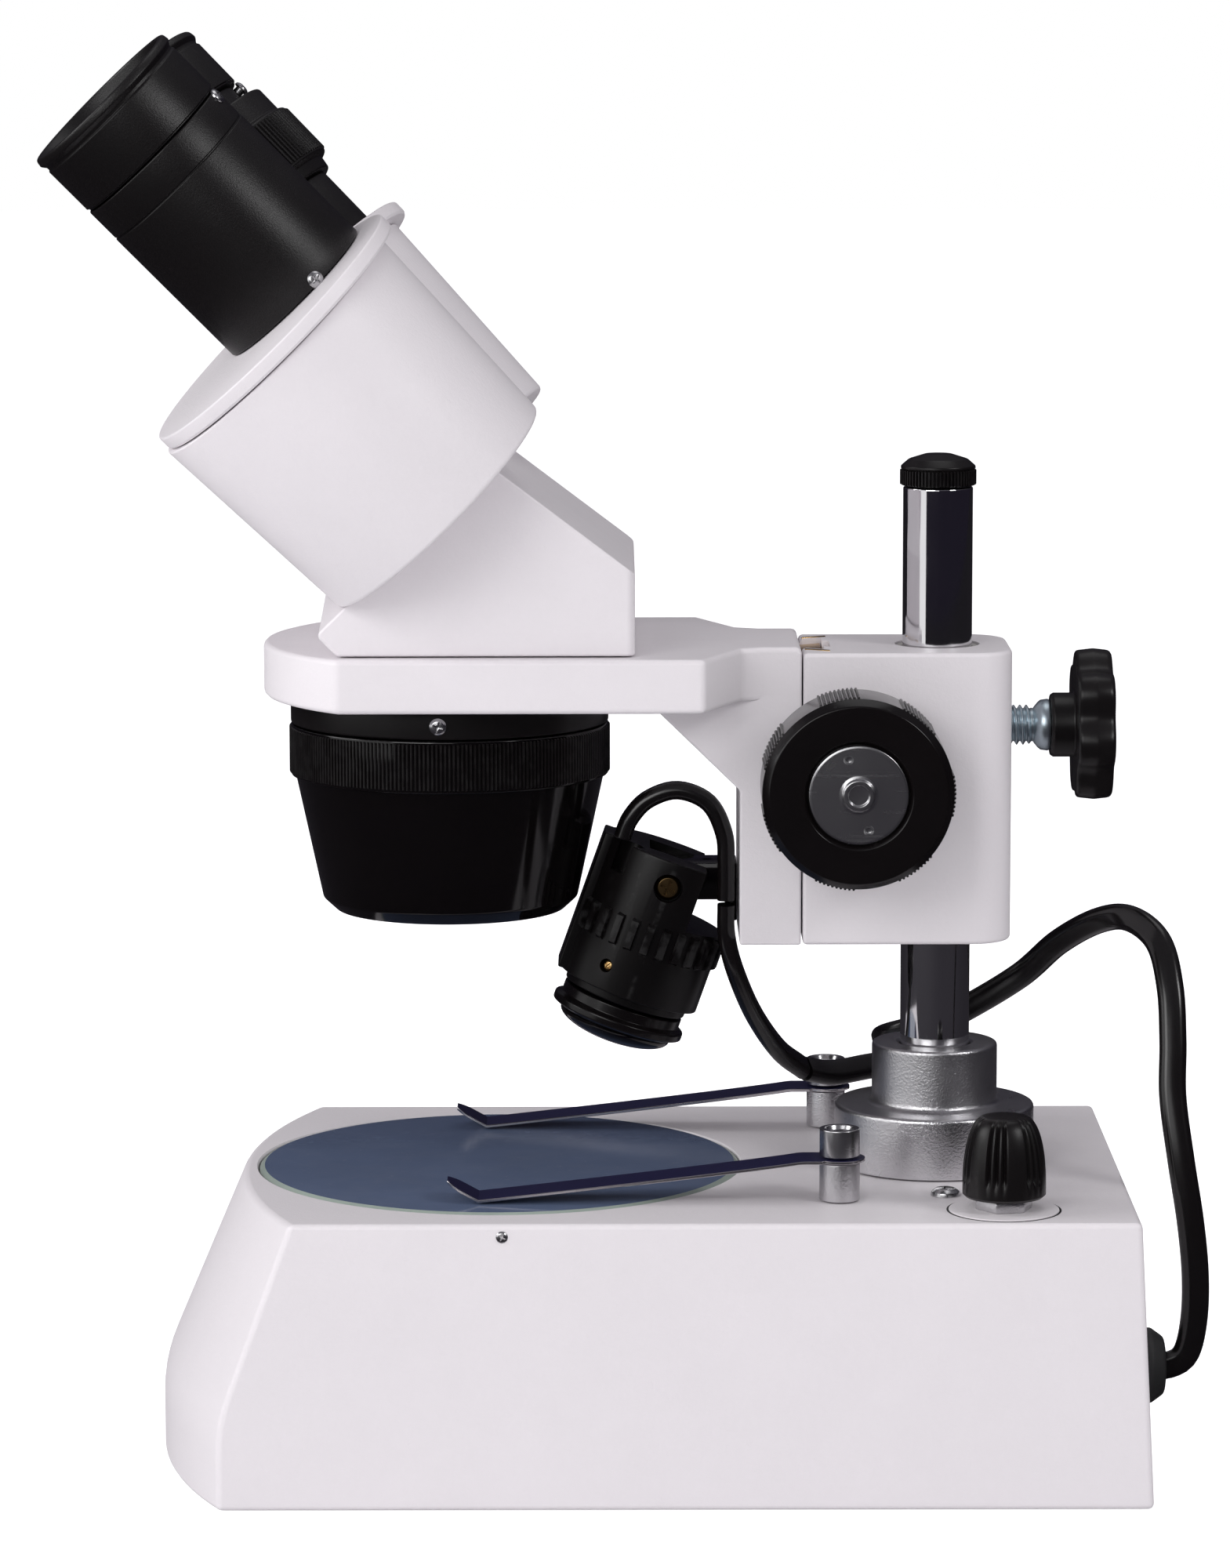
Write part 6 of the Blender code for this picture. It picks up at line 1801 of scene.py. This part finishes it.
class MICROSCOPE_OT_stage(Operator):
    """Set up the camera, the floor and the light"""

    bl_idname = "microscope.stage"
    bl_label = "Stage"

    def execute(self, context):
        make_stage()
        return {"FINISHED"}


class MICROSCOPE_OT_lead(Operator):
    """Lay the lamp's flat lead"""

    bl_idname = "microscope.lead"
    bl_label = "Lamp lead"

    def execute(self, context):
        make_lead()
        return {"FINISHED"}


class MICROSCOPE_OT_base(Operator):
    """Build the base casting and its fittings"""

    bl_idname = "microscope.base"
    bl_label = "Base"

    def execute(self, context):
        make_base()
        make_base_fittings()
        return {"FINISHED"}


class MICROSCOPE_OT_clips(Operator):
    """Build the stage clips and their posts"""

    bl_idname = "microscope.clips"
    bl_label = "Stage clips"

    def execute(self, context):
        make_clips()
        return {"FINISHED"}


class MICROSCOPE_OT_pillar(Operator):
    """Build the pillar, its collar and cap, and the dimmer"""

    bl_idname = "microscope.pillar"
    bl_label = "Pillar and dimmer"

    def execute(self, context):
        make_pillar()
        make_dimmer()
        return {"FINISHED"}


class MICROSCOPE_OT_focus(Operator):
    """Build the focus block, rack, wheels and clamp"""

    bl_idname = "microscope.focus"
    bl_label = "Focus block and clamp"

    def execute(self, context):
        make_focus_block()
        make_focus_rack()
        make_focus_wheels()
        make_clamp()
        return {"FINISHED"}


class MICROSCOPE_OT_head(Operator):
    """Build the carrier, the objective and the head casting"""

    bl_idname = "microscope.head"
    bl_label = "Carrier and objective"

    def execute(self, context):
        make_carrier()
        make_objective()
        make_head_body()
        return {"FINISHED"}


class MICROSCOPE_OT_barrels(Operator):
    """Build the prism housings, tubes and eyepieces"""

    bl_idname = "microscope.barrels"
    bl_label = "Barrels and eyepieces"

    def execute(self, context):
        make_barrels()
        return {"FINISHED"}


class MICROSCOPE_OT_lamp(Operator):
    """Build the tilting lamp and its bracket"""

    bl_idname = "microscope.lamp"
    bl_label = "Lamp"

    def execute(self, context):
        make_lamp()
        make_lamp_bracket()
        return {"FINISHED"}


OPERATORS = (MICROSCOPE_OT_finishes, MICROSCOPE_OT_stage, MICROSCOPE_OT_lead,
             MICROSCOPE_OT_base, MICROSCOPE_OT_clips, MICROSCOPE_OT_pillar,
             MICROSCOPE_OT_focus, MICROSCOPE_OT_head, MICROSCOPE_OT_barrels,
             MICROSCOPE_OT_lamp)


class MICROSCOPE_PT_panel(Panel):
    """The microscope's pieces and settings in the sidebar"""

    bl_idname = "MICROSCOPE_PT_panel"
    bl_label = "Stereo microscope"
    bl_space_type = "VIEW_3D"
    bl_region_type = "UI"
    bl_category = "Microscope"

    def draw(self, context):
        for operator in OPERATORS:
            self.layout.operator(operator.bl_idname, text=operator.bl_label)
        for group in (colours(), sizes(), settings()):
            box = self.layout.box()
            for name in group.bl_rna.properties.keys():
                if name not in ("rna_type", "name"):
                    box.prop(group, name)


CLASSES = (MicroscopeColours, MicroscopeSizes, MicroscopeStage, *OPERATORS,
           MICROSCOPE_PT_panel)


def register():
    for cls in CLASSES:
        bpy.utils.register_class(cls)
    bpy.types.Scene.microscope_colours = PointerProperty(type=MicroscopeColours)
    bpy.types.Scene.microscope_sizes = PointerProperty(type=MicroscopeSizes)
    bpy.types.Scene.microscope_stage = PointerProperty(type=MicroscopeStage)


def unregister():
    del bpy.types.Scene.microscope_stage
    del bpy.types.Scene.microscope_sizes
    del bpy.types.Scene.microscope_colours
    for cls in reversed(CLASSES):
        bpy.utils.unregister_class(cls)


def main():
    register()
    for operator in OPERATORS:
        getattr(bpy.ops.microscope, operator.bl_idname.split(".")[1])()


if __name__ == "__main__":
    main()
